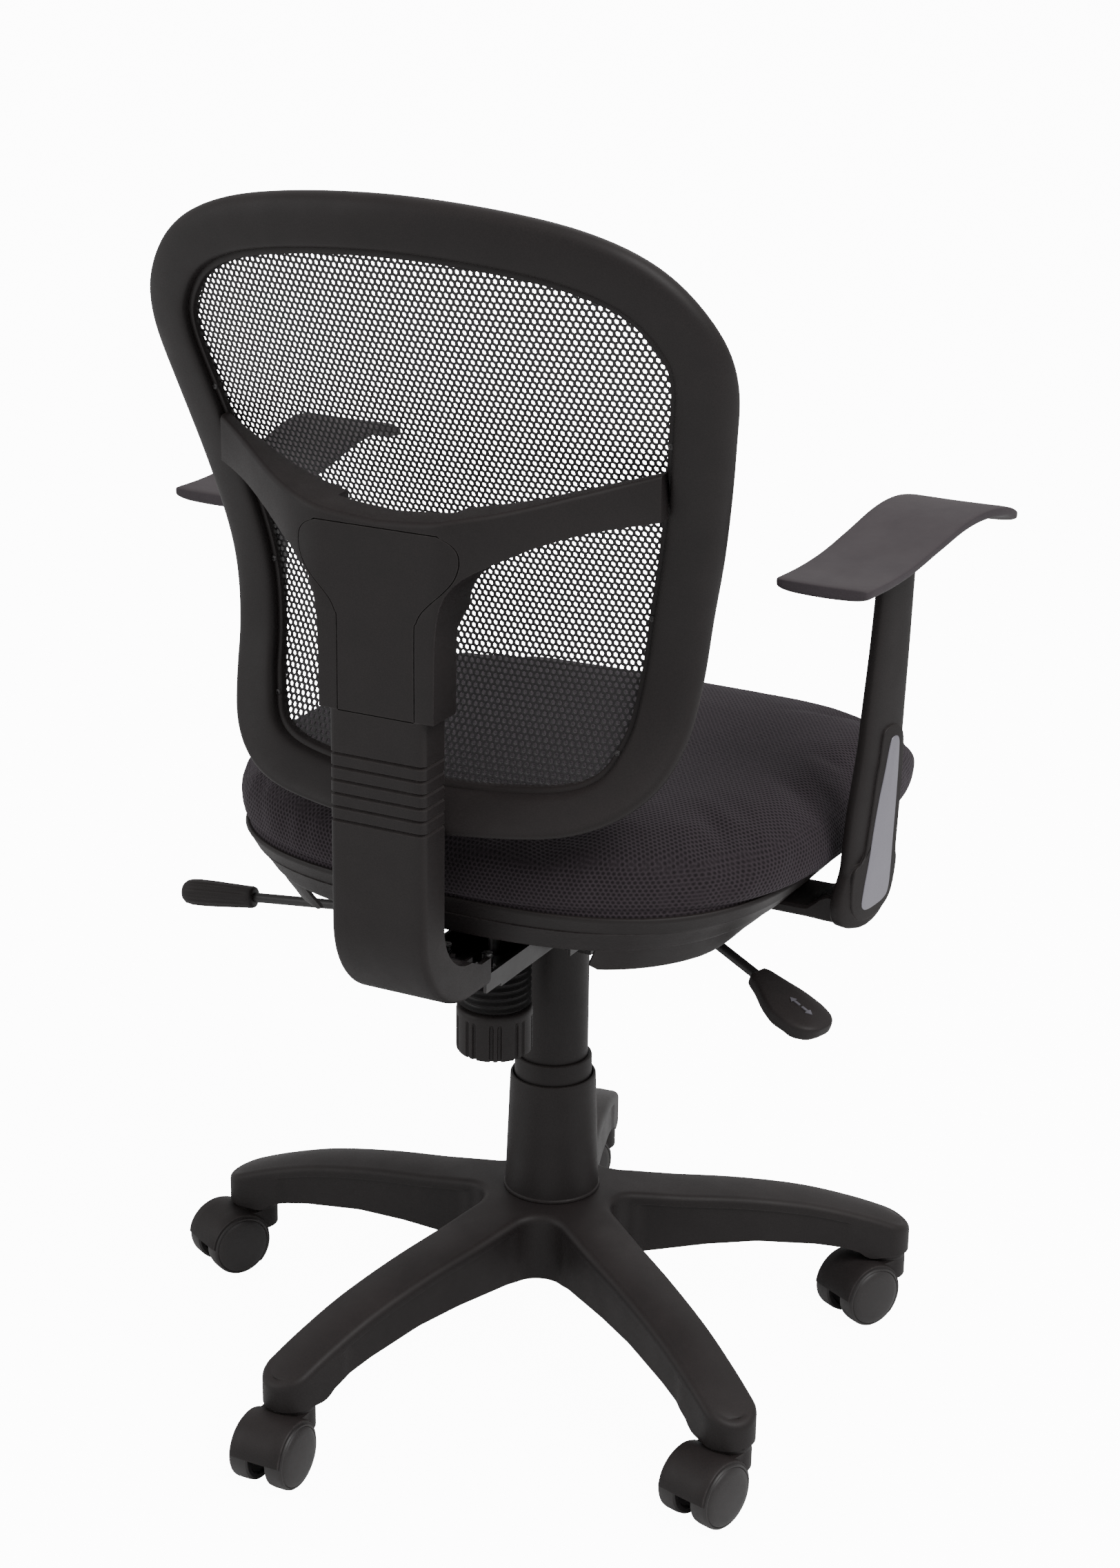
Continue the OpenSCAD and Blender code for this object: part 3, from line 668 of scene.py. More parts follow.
@dataclass(frozen=True)
class SilverPlastic:
    """Satin silver paint on plastic, with fine metallic flakes."""

    name: str
    colour: tuple = (0.25, 0.24, 0.275)

    def material(self) -> bpy.types.Material:
        """Builds the material."""
        made, t, shader = start_material(self.name)
        place = t.place()
        flakes = t.add("ShaderNodeTexVoronoi", {"Vector": place, "Scale": 2400.0})
        haze = t.add("ShaderNodeTexNoise", {"Vector": place, "Scale": 30.0, "Detail": 3.0})
        colour = t.blend(flakes.outputs["Distance"], rgba(self.colour, 1.12), rgba(self.colour, 0.85))
        colour = t.blend(t.math("MULTIPLY", haze.outputs[0], 0.25), colour, rgba(self.colour, 0.8))
        rough = t.math("MULTIPLY_ADD", haze.outputs[0], 0.12, 0.28)
        t.surface(shader, colour, rough, flakes.outputs["Distance"], 0.15, 0.02)
        shader.inputs["Metallic"].default_value = 0.55
        return made


@dataclass(frozen=True)
class SpacerKnit:
    """Black three-dimensional knit of the seat, with staggered dimples and a soft sheen."""

    name: str
    colour: tuple = (0.0290, 0.0225, 0.0265)
    pitch: float = 3.5

    def material(self) -> bpy.types.Material:
        """Builds the material."""
        made, t, shader = start_material(self.name)
        knit = t.add("ShaderNodeGroup", {0: self.pitch * MM}, node_tree=Effects.group("knit"))
        colour = t.blend(knit.outputs["Thread"], rgba(self.colour, 0.3), rgba(self.colour, 1.35))
        colour = t.blend(t.math("MULTIPLY", knit.outputs["Fade"], 0.35), colour, rgba(self.colour, 0.75))
        rough = t.math("MULTIPLY_ADD", knit.outputs["Thread"], -0.14, 0.9)
        t.surface(shader, colour, rough, knit.outputs["Height"], 0.8, 0.7)
        shader.inputs["Sheen Weight"].default_value = 0.08
        shader.inputs["Sheen Roughness"].default_value = 0.45
        shader.inputs["Sheen Tint"].default_value = (0.75, 0.68, 0.78, 1)
        shader.inputs["Specular IOR Level"].default_value = 0.16
        return made


@dataclass(frozen=True)
class MeshThread:
    """Black polyester thread of the open back, with fine twisted filaments."""

    name: str
    colour: tuple = (0.0105, 0.0085, 0.0100)

    def material(self) -> bpy.types.Material:
        """Builds the material."""
        made, t, shader = start_material(self.name)
        place = t.place()
        turned = t.add("ShaderNodeMapping", {"Vector": place, "Rotation": (0.0, 0.6, 0.0), "Scale": (1.0, 1.0, 0.35)})
        twist = t.add("ShaderNodeTexWave", {"Vector": turned.outputs[0], "Scale": 700.0, "Distortion": 6.0,
                                            "Detail": 2.0})
        haze = t.add("ShaderNodeTexNoise", {"Vector": place, "Scale": 24.0, "Detail": 3.0})
        colour = t.blend(twist.outputs["Fac"], rgba(self.colour, 0.65), rgba(self.colour, 1.5))
        colour = t.blend(t.math("MULTIPLY", haze.outputs[0], 0.3), colour, rgba(self.colour, 0.7))
        rough = t.math("MULTIPLY_ADD", twist.outputs["Fac"], 0.16, 0.5)
        t.surface(shader, colour, rough, twist.outputs["Fac"], 0.5, 0.12)
        shader.inputs["Sheen Weight"].default_value = 0.12
        return made


@dataclass(frozen=True)
class Steel:
    """Plated or powder-coated steel with fine scratches, and edges lightened as rubbed wear and painted highlight."""

    name: str
    colour: tuple
    metallic: float
    roughness: float

    def material(self) -> bpy.types.Material:
        """Builds the material."""
        made, t, shader = start_material(self.name)
        place = t.place()
        edge_rub_and_highlight = t.add("ShaderNodeGroup", {0: 0.0008, 1: 300.0}, node_tree=Effects.group("edge_rub_and_highlight"))
        peel = t.add("ShaderNodeTexNoise", {"Vector": place, "Scale": 520.0, "Detail": 3.0})
        cloud = t.add("ShaderNodeTexNoise", {"Vector": place, "Scale": 45.0, "Detail": 4.0, "Roughness": 0.6})
        colour = t.blend(cloud.outputs[0], rgba(self.colour, 0.82), rgba(self.colour, 1.18))
        # Sharp edges lightened to light grey: partly rubbed wear, partly a painted highlight.
        colour = t.blend(t.math("MULTIPLY", edge_rub_and_highlight.outputs[0], 0.5), colour, rgba((0.24, 0.23, 0.23)))
        rough = t.math("MULTIPLY_ADD", cloud.outputs[0], 0.22, self.roughness - 0.11, clamp=True)
        t.surface(shader, colour, rough, peel.outputs[0], 0.35, 0.04)
        shader.inputs["Metallic"].default_value = self.metallic
        return made


@dataclass(frozen=True)
class Plywood:
    """Raw ply with stretched grain."""

    name: str

    def material(self) -> bpy.types.Material:
        """Builds the material."""
        made, t, shader = start_material(self.name)
        place = t.place()
        stretched = t.add("ShaderNodeMapping", {"Vector": place, "Scale": (60.0, 4.0, 260.0)})
        grain = t.add("ShaderNodeTexNoise", {"Vector": stretched.outputs[0], "Scale": 3.0, "Detail": 6.0,
                                             "Distortion": 0.8})
        colour = t.blend(grain.outputs[0], (0.32, 0.19, 0.09, 1), (0.62, 0.44, 0.26, 1))
        rough = t.math("MULTIPLY_ADD", grain.outputs[0], 0.2, 0.6)
        t.surface(shader, colour, rough)
        return made


class Finish(Enum):
    """The chair's finishes; each holds the record's slot and what makes its material."""

    PLASTIC = ("plastic", MouldedPlastic("moulded plastic"))
    PAD = ("pad", MouldedPlastic("arm pad plastic", colour=(0.044, 0.036, 0.041), roughness=0.62, cells=1300.0,
                                 depth=0.04, rub_and_highlight=0.15, dust=0.25))
    SILVER = ("silver_plastic", SilverPlastic("silver insert"))
    WHEEL = ("wheel", SmoothPlastic("wheel nylon", (0.014, 0.0115, 0.0115), 0.48))
    BUSH = ("bush", SmoothPlastic("acetal bush", (0.62, 0.61, 0.55), 0.4, 0.0))
    RUBBER = ("rubber", SmoothPlastic("black rubber", (0.008, 0.0072, 0.0072), 0.6, 0.1))
    FABRIC = ("fabric", SpacerKnit("seat knit"))
    MESH = ("mesh", MeshThread("back mesh thread"))
    BOARD = ("board", Plywood("seat board ply"))
    BLACK_STEEL = ("black_steel", Steel("black powder coat", (0.016, 0.014, 0.0145), 0.1, 0.42))
    STEEL = ("steel", Steel("zinc plated steel", (0.5, 0.5, 0.5), 1.0, 0.3))

    @property
    def slot(self) -> str:
        """The record's material slot."""
        return self.value[0]


class Paint:
    """Hands out each finish's material, made once."""

    _made: dict = {}

    @classmethod
    def of(cls, finish: Finish) -> bpy.types.Material:
        """The finish's material."""
        if finish not in cls._made:
            cls._made[finish] = finish.value[1].material()
        return cls._made[finish]


def dress(piece: bpy.types.Object, finish: Finish, body: str, *nodes: str) -> bpy.types.Object:
    """Gives a piece its finish and its body, and hides the CAD nodes it replaces.

    Args:
        piece: The object, finished and in place.
        finish: Its finish.
        body: The body it rides on.
        nodes: The CAD nodes it replaces.

    Returns:
        The same object.
    """
    piece.data.materials.clear()
    piece.data.materials.append(Paint.of(finish))
    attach(piece, body)
    if nodes:
        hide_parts(*nodes)
    LOG.info("%s: %d faces, rides on %s", piece.name, len(piece.data.polygons), body)
    return piece


def centre(node: str) -> np.ndarray:
    """The middle of a CAD node's box, in millimetres."""
    low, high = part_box(node)
    return (np.array(low) + np.array(high)) / 2 / MM


def low_corner(node: str) -> np.ndarray:
    """The lowest corner of a CAD node's box, in millimetres."""
    return np.array(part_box(node)[0]) / MM


def high_corner(node: str) -> np.ndarray:
    """The highest corner of a CAD node's box, in millimetres."""
    return np.array(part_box(node)[1]) / MM


def corners(node: str) -> tuple:
    """The node's lowest and highest corners, in millimetres."""
    return low_corner(node), high_corner(node)


def joint(name: str) -> dict:
    """The record's joint of that name."""
    return next(j for j in frame["joints"] if j["name"] == name)


# ---------------------------------------------------------------- base and casters


@dataclass
class StarBase:
    """Five-armed base: rounded tops, recessed side panels, and ribbed pockets underneath."""

    arms: int = 5
    crotch: float = 55.0
    half_root: float = 23.5
    half_tip: float = 20.8
    edge: float = 6.0
    crown: float = 1.4
    inset: float = 1.7
    wall: float = 4.0
    turn: float = math.radians(1.4)
    top: tuple = ((0, 134), (30, 134), (52, 132), (78, 129), (104, 126), (156, 119.5), (208, 109.5), (250, 96.5),
                  (281, 84), (299, 74.5))
    under: tuple = ((0, 76), (73, 78), (125, 80), (166, 79), (215, 72), (243, 65.5), (252, 61.5), (257, 57),
                    (262, 55), (305, 55))

    def stem_circle(self) -> float:
        """Distance from the column to a caster stem, from the frame's joint."""
        return math.hypot(*joint("caster_swivel_1")["pos_m"][:2]) / MM

    def outline(self) -> np.ndarray:
        """Half the outline of one arm, from the crotch between two arms to the tip."""
        half = math.pi / self.arms
        radius = (self.half_root - self.crotch * math.sin(half)) / (math.sin(half) - 1)
        middle = np.array([math.cos(half), math.sin(half)]) * (self.crotch + radius)
        bend = [middle + radius * np.array([math.cos(a), math.sin(a)])
                for a in np.linspace(math.pi + half, 1.5 * math.pi, 12)]
        reach = self.stem_circle()
        side = [(x, y) for x, y in zip(np.linspace(middle[0], reach, 52)[1:],
                                       np.linspace(self.half_root, self.half_tip, 52)[1:])]
        tip = [(reach + self.half_tip * math.sin(a), self.half_tip * math.cos(a)) for a in np.linspace(0, math.pi / 2,
                                                                                                       15)[1:]]
        return np.array([*bend, *side, *tip])

    def inward(self, line: np.ndarray, distance: float) -> np.ndarray:
        """The outline moved towards the arm's middle line."""
        moved = offset_curve(line, -distance)
        half = math.pi / self.arms
        moved[0] = np.array([math.cos(half), math.sin(half)]) * (self.crotch - distance)
        moved[-1] = line[-1] - [distance, 0]
        return moved

    def height(self, places: np.ndarray, share: Numbers) -> np.ndarray:
        """Height of the arm's crowned top.

        Args:
            places: Plane points.
            share: How far from the arm's middle line to its edge each one lies, from 0 to 1.

        Returns:
            The heights.
        """
        reach = np.linalg.norm(places, axis=-1)
        return profile(self.top, reach) - self.crown * ease(60, 110, reach) * share ** 2

    def half_arm(self) -> Shell:
        """The surface of half an arm and its share of the hub."""
        line = self.outline()
        shell = Shell()
        rim = self.inward(line, self.edge)
        hub = np.linspace(0, 1, 7)[:-1, None] * rim[0]
        spine = np.concatenate([hub, rim])
        parts = np.linspace(0, 1, 8)
        rows = []
        for x, y in spine:
            flat = np.stack([np.full(len(parts), x), parts * y], axis=1)
            rows.append(np.column_stack([flat, self.height(flat, parts)]))
        shell.grid(np.array(rows))
        level = self.height(rim, 1.0)
        columns = []
        for a in np.linspace(math.pi / 2, 0, 6):
            moved = self.inward(line, self.edge * (1 - math.cos(a)))
            columns.append(np.column_stack([moved, level - self.edge * (1 - math.sin(a))]))
        r = np.linalg.norm(line, axis=1)
        panel = ease(66, 74, r) * (1 - ease(236, 243, r))
        floor = np.interp(r, *np.array(self.under).T)
        start = level - self.edge
        deep = self.inward(line, self.inset)
        inner = line + (deep - line) * panel[:, None]
        for drop in (1.5, 3.0):
            columns.append(np.column_stack([line, start - drop]))
        for drop in (3.6, 4.6, 6.0):
            columns.append(np.column_stack([inner, start - drop]))
        for share in (0.35, 0.7, 0.97, 1.0):
            columns.append(np.column_stack([inner, (start - 6.0) * (1 - share) + floor * share]))
        shell.grid(np.stack(columns, axis=1))
        rows = [np.column_stack([np.full(8, x * s), parts * y * s, np.full(8, floor[0])])
                for s in np.linspace(0, 1, 6)[:-1] for x, y in inner[:1]]
        rows += [np.column_stack([np.full(8, x), parts * y, np.full(8, z)]) for (x, y), z in zip(inner, floor)]
        shell.grid(np.array(rows))
        return shell

    def pocket(self, start: float, end: float, angle: float) -> bpy.types.Object:
        """One pocket under an arm, between two ribs."""
        rings = []
        for x in np.linspace(start, end, 6):
            w = self.half_root + (self.half_tip - self.half_root) * (x - 60) / 216 - self.wall - self.inset
            z = profile(self.top, x) - 7.5
            rings.append([(x, -w, 30), (x, w, 30), (x, w, z - 2), (x, w - 2, z), (x, -w + 2, z), (x, -w, z - 2)])
        tool = Shell().loft(rings).object("tool")
        tool.data.transform(Matrix.Rotation(angle, 4, "Z"))
        return tool

    def build(self) -> None:
        """Makes the base with the sleeve round its hub, and dresses it."""
        half = self.half_arm()
        points = np.array(half.points)
        whole = Shell()
        for k in range(self.arms):
            a = self.turn + 2 * math.pi * k / self.arms
            spin = np.array([[math.cos(a), -math.sin(a), 0], [math.sin(a), math.cos(a), 0], [0, 0, 1]])
            for side in (1, -1):
                start = len(whole.points)
                whole.points.extend(((points * [1, side, 1]) @ spin.T).tolist())
                whole.faces.extend(tuple(start + i for i in face) for face in half.faces)
        piece = whole.object("base", weld=0.08)
        tools = [self.pocket(a, b, self.turn + 2 * math.pi * k / self.arms)
                 for k in range(self.arms) for a, b in ((50, 108), (111, 176), (179, 246))]
        low = low_corner("base_star")[2]
        bore = Shell().turn([(0, 40), (29.9, 40), (29.9, 160), (0, 160)], 64).object("tool")
        cut(piece, *tools, bore)
        sleeve = Shell().turn([(30.2, 72), (43, 72), (44, 73), (44, 128), (30.2, 128)], 72,
                              closed=True).object("tool")
        piece = join_pieces(piece, sleeve)
        dress(finish_mesh(piece, 40), Finish.PLASTIC, "base", "base_star")
        LOG.info("base stands %.1f mm above the floor", low)


@dataclass
class Caster:
    """One twin-wheel caster: a hood with its neck, and two domed wheels."""

    number: int
    hood_radius: float = 27.6
    hood_half: float = 21.5
    neck_radius: float = 18.4
    well: float = 26.6
    web: float = 6.5
    mouth_lean: float = math.radians(27)

    def place(self) -> tuple:
        """Where the caster stands: its matrix, the trail and the axle's height.

        Returns:
            The matrix from the caster's own space, whose X axis trails and Y axis follows the axle, the trail and
            the wheel radius, in millimetres.
        """
        stem = Vector(joint(f"caster_swivel_{self.number}")["pos_m"]) / MM
        axle = Vector(joint(f"wheel_spin_{self.number}")["pos_m"]) / MM
        back = Vector((axle.x - stem.x, axle.y - stem.y, 0))
        turn = math.atan2(back.y, back.x)
        move = Matrix.Translation((stem.x, stem.y, 0)) @ Matrix.Rotation(turn, 4, "Z")
        return move, back.length, axle.z

    def hood(self, trail: float, height: float) -> bpy.types.Object:
        """The hood in the caster's own space."""
        lie = Matrix.Translation((trail, 0, height)) @ Matrix.Rotation(-math.pi / 2, 4, "X")
        r, h = self.hood_radius, self.hood_half
        drum = Shell().turn([(0, -h), (r - 2.4, -h), (r - 1, -h + 0.5), (r - 0.2, -h + 2.2), (r + 0.1, -h / 2),
                             (r + 0.2, 0), (r + 0.1, h / 2), (r - 0.2, h - 2.2), (r - 1, h - 0.5), (r - 2.4, h),
                             (0, h)], 72, lie).object("hood")
        n = self.neck_radius
        neck = Shell().turn([(0, 33), (n, 33), (n, 46), (n - 0.3, 49.5), (n - 0.3, 50.5), (n + 0.1, 51.2), (n, 53.6),
                             (n - 0.8, 54.4), (0, 54.4)], 56).object("tool")
        cut(drum, neck, join=True)
        bridge = block((2, -n + 0.4, height + 10), (trail - 2, n - 0.4, height + 24.5))
        cut(drum, bridge, join=True)
        wells = []
        for s in (-1, 1):
            near, far = (self.web, h + 10) if s > 0 else (-h - 10, -self.web)
            wells.append(Shell().turn([(0, near), (self.well, near), (self.well, far), (0, far)], 72,
                                      lie).object("tool"))
        mouth = block((-70, -60, -80), (70, 60, -9.5))
        lean = Matrix.Rotation(-self.mouth_lean, 4, "Y")
        mouth.data.transform(metric(Matrix.Translation((trail, 0, height)) @ lean))
        cut(drum, *wells, mouth)
        round_edges(drum, 0.6, 2, 40)
        return drum

    def wheel(self, side: int, trail: float, radius: float) -> bpy.types.Object:
        """One wheel in the caster's own space, with a crowned tread and a domed outer face."""
        r, w = radius, self.web + 0.7
        outline = [(0, 20), (3.2, 20), (3.2, w), (9, w), (10, w + 2), (19, w + 2), (20.5, w), (r - 2, w),
                   (r - 0.5, w + 1.2), (r - 0.05, w + 4), (r, 14.5), (r - 0.05, 20), (r - 0.5, 21.8), (r - 1.3, 22.7),
                   (r - 2.2, 22.9), (r - 2.6, 22.5), (r - 3.0, 23.0), (r - 4.2, 24.0), (r - 8, 24.9), (12, 25.6),
                   (6, 26.05), (0, 26.2)]
        lie = Matrix.Translation((trail, 0, radius)) @ Matrix.Rotation(-math.pi / 2 * side, 4, "X")
        return Shell().turn(outline, 72, lie).object(f"wheel_{self.number}_{'outer' if side > 0 else 'inner'}")

    def build(self) -> None:
        """Makes the hood and the pair of wheels and puts them on their bodies."""
        move, trail, height = self.place()
        hood = self.hood(trail, height)
        hood.name = f"caster_hood_{self.number}"
        finish_mesh(hood, 34)
        pair = join_pieces(self.wheel(1, trail, height), self.wheel(-1, trail, height))
        pair.name = f"caster_wheels_{self.number}"
        finish_mesh(pair, 34)
        for piece in (hood, pair):
            piece.data.transform(metric(move))
        dress(hood, Finish.PLASTIC, f"caster_{self.number}", f"hood_{self.number}")
        dress(pair, Finish.WHEEL, f"rollers_{self.number}", f"wheels_{self.number}")


@dataclass
class ColumnCovers:
    """The three telescoping covers round the gas lift."""

    lip: float = 0.9

    def cover(self, name: str, outline: Sequence, body: str, node: str) -> None:
        """Makes one cover from its closed outline."""
        piece = Shell().turn(outline, 96, closed=True).object(name)
        dress(finish_mesh(piece, 30), Finish.PLASTIC, body, node)

    def build(self) -> None:
        """Makes the covers on their three bodies."""
        low, high = low_corner("cover_lower")[2], high_corner("cover_lower")[2]
        foot, head = high_corner("cover_lower")[0], 33.6
        e = self.lip
        self.cover("cover_lower_shell", [(31.6, low + 1), (34, low - 0.2), (foot + 0.6, low - 0.2),
                                         (foot + 1.0, low + 0.6), (foot + 0.8, low + 1.8), (foot, low + 2.6),
                                         (foot - 0.1, low + 4), (head + 0.1, high - 4), (head, high - 1.6),
                                         (head - 0.4, high - e / 2), (head - 1.2, high), (head - 2, high - 0.1),
                                         (31.2, high - 1)], "base", "cover_lower")
        low, high = low_corner("cover_middle")[2], high_corner("cover_middle")[2]
        wide = high_corner("cover_middle")[0]
        self.cover("cover_middle_shell", [(28.3, low), (wide, low), (wide, high - 2), (wide - 0.4, high - 0.7),
                                          (wide - 1.2, high), (27.5, high), (27.3, high - 0.6), (27.3, high - 3),
                                          (28.3, high - 4)],
                   "middle_cover", "cover_middle")
        low, high = low_corner("cover_upper")[2], high_corner("cover_upper")[2]
        wide = 27.0
        self.cover("cover_upper_shell", [(25.6, low), (wide, low), (wide, high - 6), (wide + 0.2, high - 3),
                                         (wide + 0.3, high), (25.6, high)], "carriage", "cover_upper")


# ---------------------------------------------------------------- mechanism


@dataclass
class TensionKnob:
    """The tension knob with its paired slots, and the bellows above it."""

    pairs: int = 9
    slot_half: float = 1.9
    slot_deep: float = 1.7
    spread: float = math.radians(6.2)
    ribs: int = 7
    wire: float = 1.7
    turns: float = 6.5

    def knob(self) -> bpy.types.Object:
        """The knob: a drum with rounded rims and slots that stop short of its top."""
        low, high = corners("tension_knob")
        x, y, _ = centre("tension_knob")
        r, z0, z1 = (high[0] - low[0]) / 2, low[2], high[2]
        outline = [(0, z0 + 0.6), (r * 0.5, z0 + 0.6), (r * 0.55, z0), (r - 4, z0), (r - 1.5, z0 + 0.6),
                   (r - 0.4, z0 + 1.8)]
        outline += [(r, z) for z in np.linspace(z0 + 3.2, z1 - 3.5, 22)]
        outline += [(r - 0.3, z1 - 1.6), (r - 1.3, z1 - 0.4), (r - 2.6, z1), (19, z1), (18.4, z1 - 1),
                    (18.4, z0 + 13), (0, z0 + 13)]
        outline = np.array(outline)
        columns = np.linspace(0, 2 * math.pi, 432, endpoint=False)
        rows = []
        for a in columns:
            near = (a + math.pi / self.pairs) % (2 * math.pi / self.pairs) - math.pi / self.pairs
            line = []
            for rad, z in outline:
                outer = rad > r - 4.5 and rad > 20
                gap = min(abs(near - self.spread), abs(near + self.spread)) * r
                over = max(0.0, z - (z1 - 8.5))
                d = math.hypot(gap, over)
                take = self.slot_deep * float(1 - ease(self.slot_half * 0.45, self.slot_half, d)) if outer else 0.0
                line.append((x + (rad - take) * math.cos(a), y + (rad - take) * math.sin(a), z))
            rows.append(line)
        return Shell().grid(np.array(rows), wrap_rows=True).object("knob")

    def bellows(self) -> bpy.types.Object:
        """The ribbed rubber sleeve that hides the spring."""
        low, high = corners("bellows")
        x, y, _ = centre("bellows")
        r, z0, z1 = (high[0] - low[0]) / 2, low[2], high[2]
        outline = [(19.2, z0)]
        for i in range(self.ribs * 8 + 1):
            t = i / 8
            outline.append((r - 3.2 * (0.5 + 0.5 * math.cos(2 * math.pi * t)) ** 0.7, z0 + (z1 - z0) * t / self.ribs))
        outline.append((19.2, z1))
        return Shell().turn(outline, 72, Matrix.Translation((x, y, 0)), closed=True).object("bellows_sleeve")

    def coil(self) -> bpy.types.Object:
        """The round-wire spring inside the bellows."""
        low, high = corners("tension_spring")
        x, y, _ = centre("tension_spring")
        r, base, rise = (high[0] - low[0]) / 2 - self.wire, low[2] + self.wire, high[2] - low[2] - 2 * self.wire
        rings = []
        for t in np.linspace(0, 1, 24 * int(self.turns) + 1):
            c, n = math.cos(2 * math.pi * self.turns * t), math.sin(2 * math.pi * self.turns * t)
            rings.append([(x + (r + self.wire * math.cos(b)) * c, y + (r + self.wire * math.cos(b)) * n,
                           base + rise * t + self.wire * math.sin(b)) for b in np.linspace(0, 2 * math.pi, 12,
                                                                                           endpoint=False)])
        return Shell().loft(rings).object("spring_coil")

    def give(self, piece: bpy.types.Object) -> None:
        """Gives a soft piece its own copy of its mesh.

        Args:
            piece: The piece, already dressed.
        """
        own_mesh(piece)

    def build(self) -> None:
        """Makes the knob, the bellows and the spring."""
        dress(finish_mesh(self.knob(), 45), Finish.PLASTIC, "knob", "tension_knob")
        sleeve = finish_mesh(self.bellows(), 50)
        dress(sleeve, Finish.RUBBER, "carriage", "bellows")
        self.give(sleeve)
        spring = finish_mesh(self.coil(), 50)
        dress(spring, Finish.STEEL, "carriage", "tension_spring")
        self.give(spring)


@dataclass
class Levers:
    """The lift lever with its flat paddle, and the other lever with its fluted grip."""

    flutes: int = 14

    def space(self, name: str, node: str) -> Matrix:
        """The lever's own space: its X axis runs out along the rod, and Z is up.

        Args:
            name: The joint that the lever turns on.
            node: The rod's CAD node.

        Returns:
            The matrix, in millimetres.
        """
        root = Vector(joint(name)["pos_m"]) / MM
        side = -Vector(joint(name)["axis"])
        rod = centre(node)
        out = (Vector(rod) - root).normalized()
        up = side.cross(out) if side.cross(out).z > 0 else out.cross(side)
        across = up.cross(out)
        return Matrix.Translation(root) @ Matrix((out, across, up)).transposed().to_4x4()

    def paddle(self) -> bpy.types.Object:
        """A flat wedge that widens to a rounded end, with finger scallops underneath."""
        rings = []
        for x in [138, 139, 142, 150, 160, 170, 178, 186, 194, 200, 204.5, 207.2, 208.2]:
            grow = float(ease(140, 176, x))
            w = 10.5 + 12.0 * grow
            if x > 186:
                w = 22.5 * max(0.02, 1 - ((x - 186) / 22.4) ** 2) ** 0.36
            top = 5.8 - 7.2 * grow
            low = -7.5 - 8.0 * grow + (1.3 * math.cos((x - 150) * math.pi / 9) if 150 < x < 200 else 0.6)
            if x < 142:
                w, top, low = w * (0.82 + 0.06 * (x - 138)), top - 0.8, low + 0.8
            if x > 204:
                top, low = top - (x - 204) * 0.5, low + (x - 204) * 0.9
            ring = []
            for a in np.linspace(0, 2 * math.pi, 36, endpoint=False):
                c, s = math.cos(a), math.sin(a)
                y = w * math.copysign(abs(c) ** 0.42, c)
                z = (top + low) / 2 + (top - low) / 2 * math.copysign(abs(s) ** 0.55, s)
                ring.append((x, y, z + 4.2 * grow - 0.9 * (y / 22) ** 2 * grow))
            rings.append(ring)
        piece = Shell().loft(rings).object("paddle")
        subdivide(piece, 1)
        return piece

    def arrow(self, up: int) -> bpy.types.Object:
        """A plain raised arrow on the paddle's face.

        Args:
            up: 1 for an arrow towards the paddle's end, -1 for the other way.

        Returns:
            The arrow.
        """
        outline = [(0, -1.1), (6, -1.1), (6, -3.2), (10.5, 0), (6, 3.2), (6, 1.1), (0, 1.1)]
        rings = [[(183 + up * (x + 1), y, z + 4.2) for x, y in outline] for z in (-2.2, -0.85)]
        return Shell().loft(rings).object("arrow")

    def grip(self) -> bpy.types.Object:
        """A tapered grip with shallow flutes and a rounded end."""
        outline = np.array([(0, 198.5), (6.5, 198.5), (8.2, 199.2), (8.8, 201), (8.9, 204), (9.1, 208), (9.5, 216),
                            (9.9, 224), (10.3, 232), (10.6, 240), (10.7, 248), (10.4, 254), (9.4, 258.5),
                            (7.2, 261.3), (4, 262.4), (0, 262.7)])
        rows = []
        for a in np.linspace(0, 2 * math.pi, self.flutes * 12, endpoint=False):
            dip = 0.55 * (0.5 - 0.5 * math.cos(a * self.flutes)) ** 1.6
            line = []
            for r, x in outline:
                take = dip * float(ease(203, 209, x) * (1 - ease(250, 257, x)))
                line.append((x, (r - take) * math.cos(a), (r - take) * math.sin(a)))
            rows.append(line)
        return Shell().grid(np.array(rows), wrap_rows=True).object("grip")

    def rod(self, name: str, long: float, radius: float) -> bpy.types.Object:
        """A bent-free rod with a rounded collar near its root."""
        outline = [(0, -4), (4.2, -3.4), (6.0, 0), (5.4, 3), (radius, 5.2), (radius, long), (0, long)]
        return Shell().turn(outline, 40, Matrix.Rotation(math.pi / 2, 4, "Y")).object(name)

    def build(self) -> None:
        """Makes both levers in place."""
        space = self.space("lever_lift", "lift_lever")
        move = Matrix.Scale(MM, 4) @ space @ Matrix.Scale(1 / MM, 4)
        rod, paddle = self.rod("lift_rod", 150, 3.9), self.paddle()
        for piece in (rod, paddle):
            piece.data.transform(move)
        dress(finish_mesh(rod), Finish.BLACK_STEEL, "right_lever", "lift_lever")
        dress(finish_mesh(paddle, 50), Finish.PLASTIC, "right_lever", "lift_paddle")
        mark = join_pieces(self.arrow(1), self.arrow(-1))
        mark.data.transform(move)
        dress(finish_mesh(mark), Finish.SILVER, "right_lever")
        space = self.space("lever_tilt", "tilt_lever")
        move = Matrix.Scale(MM, 4) @ space @ Matrix.Scale(1 / MM, 4)
        rod, grip = self.rod("tilt_rod", 203, 3.9), self.grip()
        for piece in (rod, grip):
            piece.data.transform(move)
        dress(finish_mesh(rod), Finish.BLACK_STEEL, "left_lever", "tilt_lever")
        dress(finish_mesh(grip, 50), Finish.PLASTIC, "left_lever", "tilt_grip")


# ---------------------------------------------------------------- seat


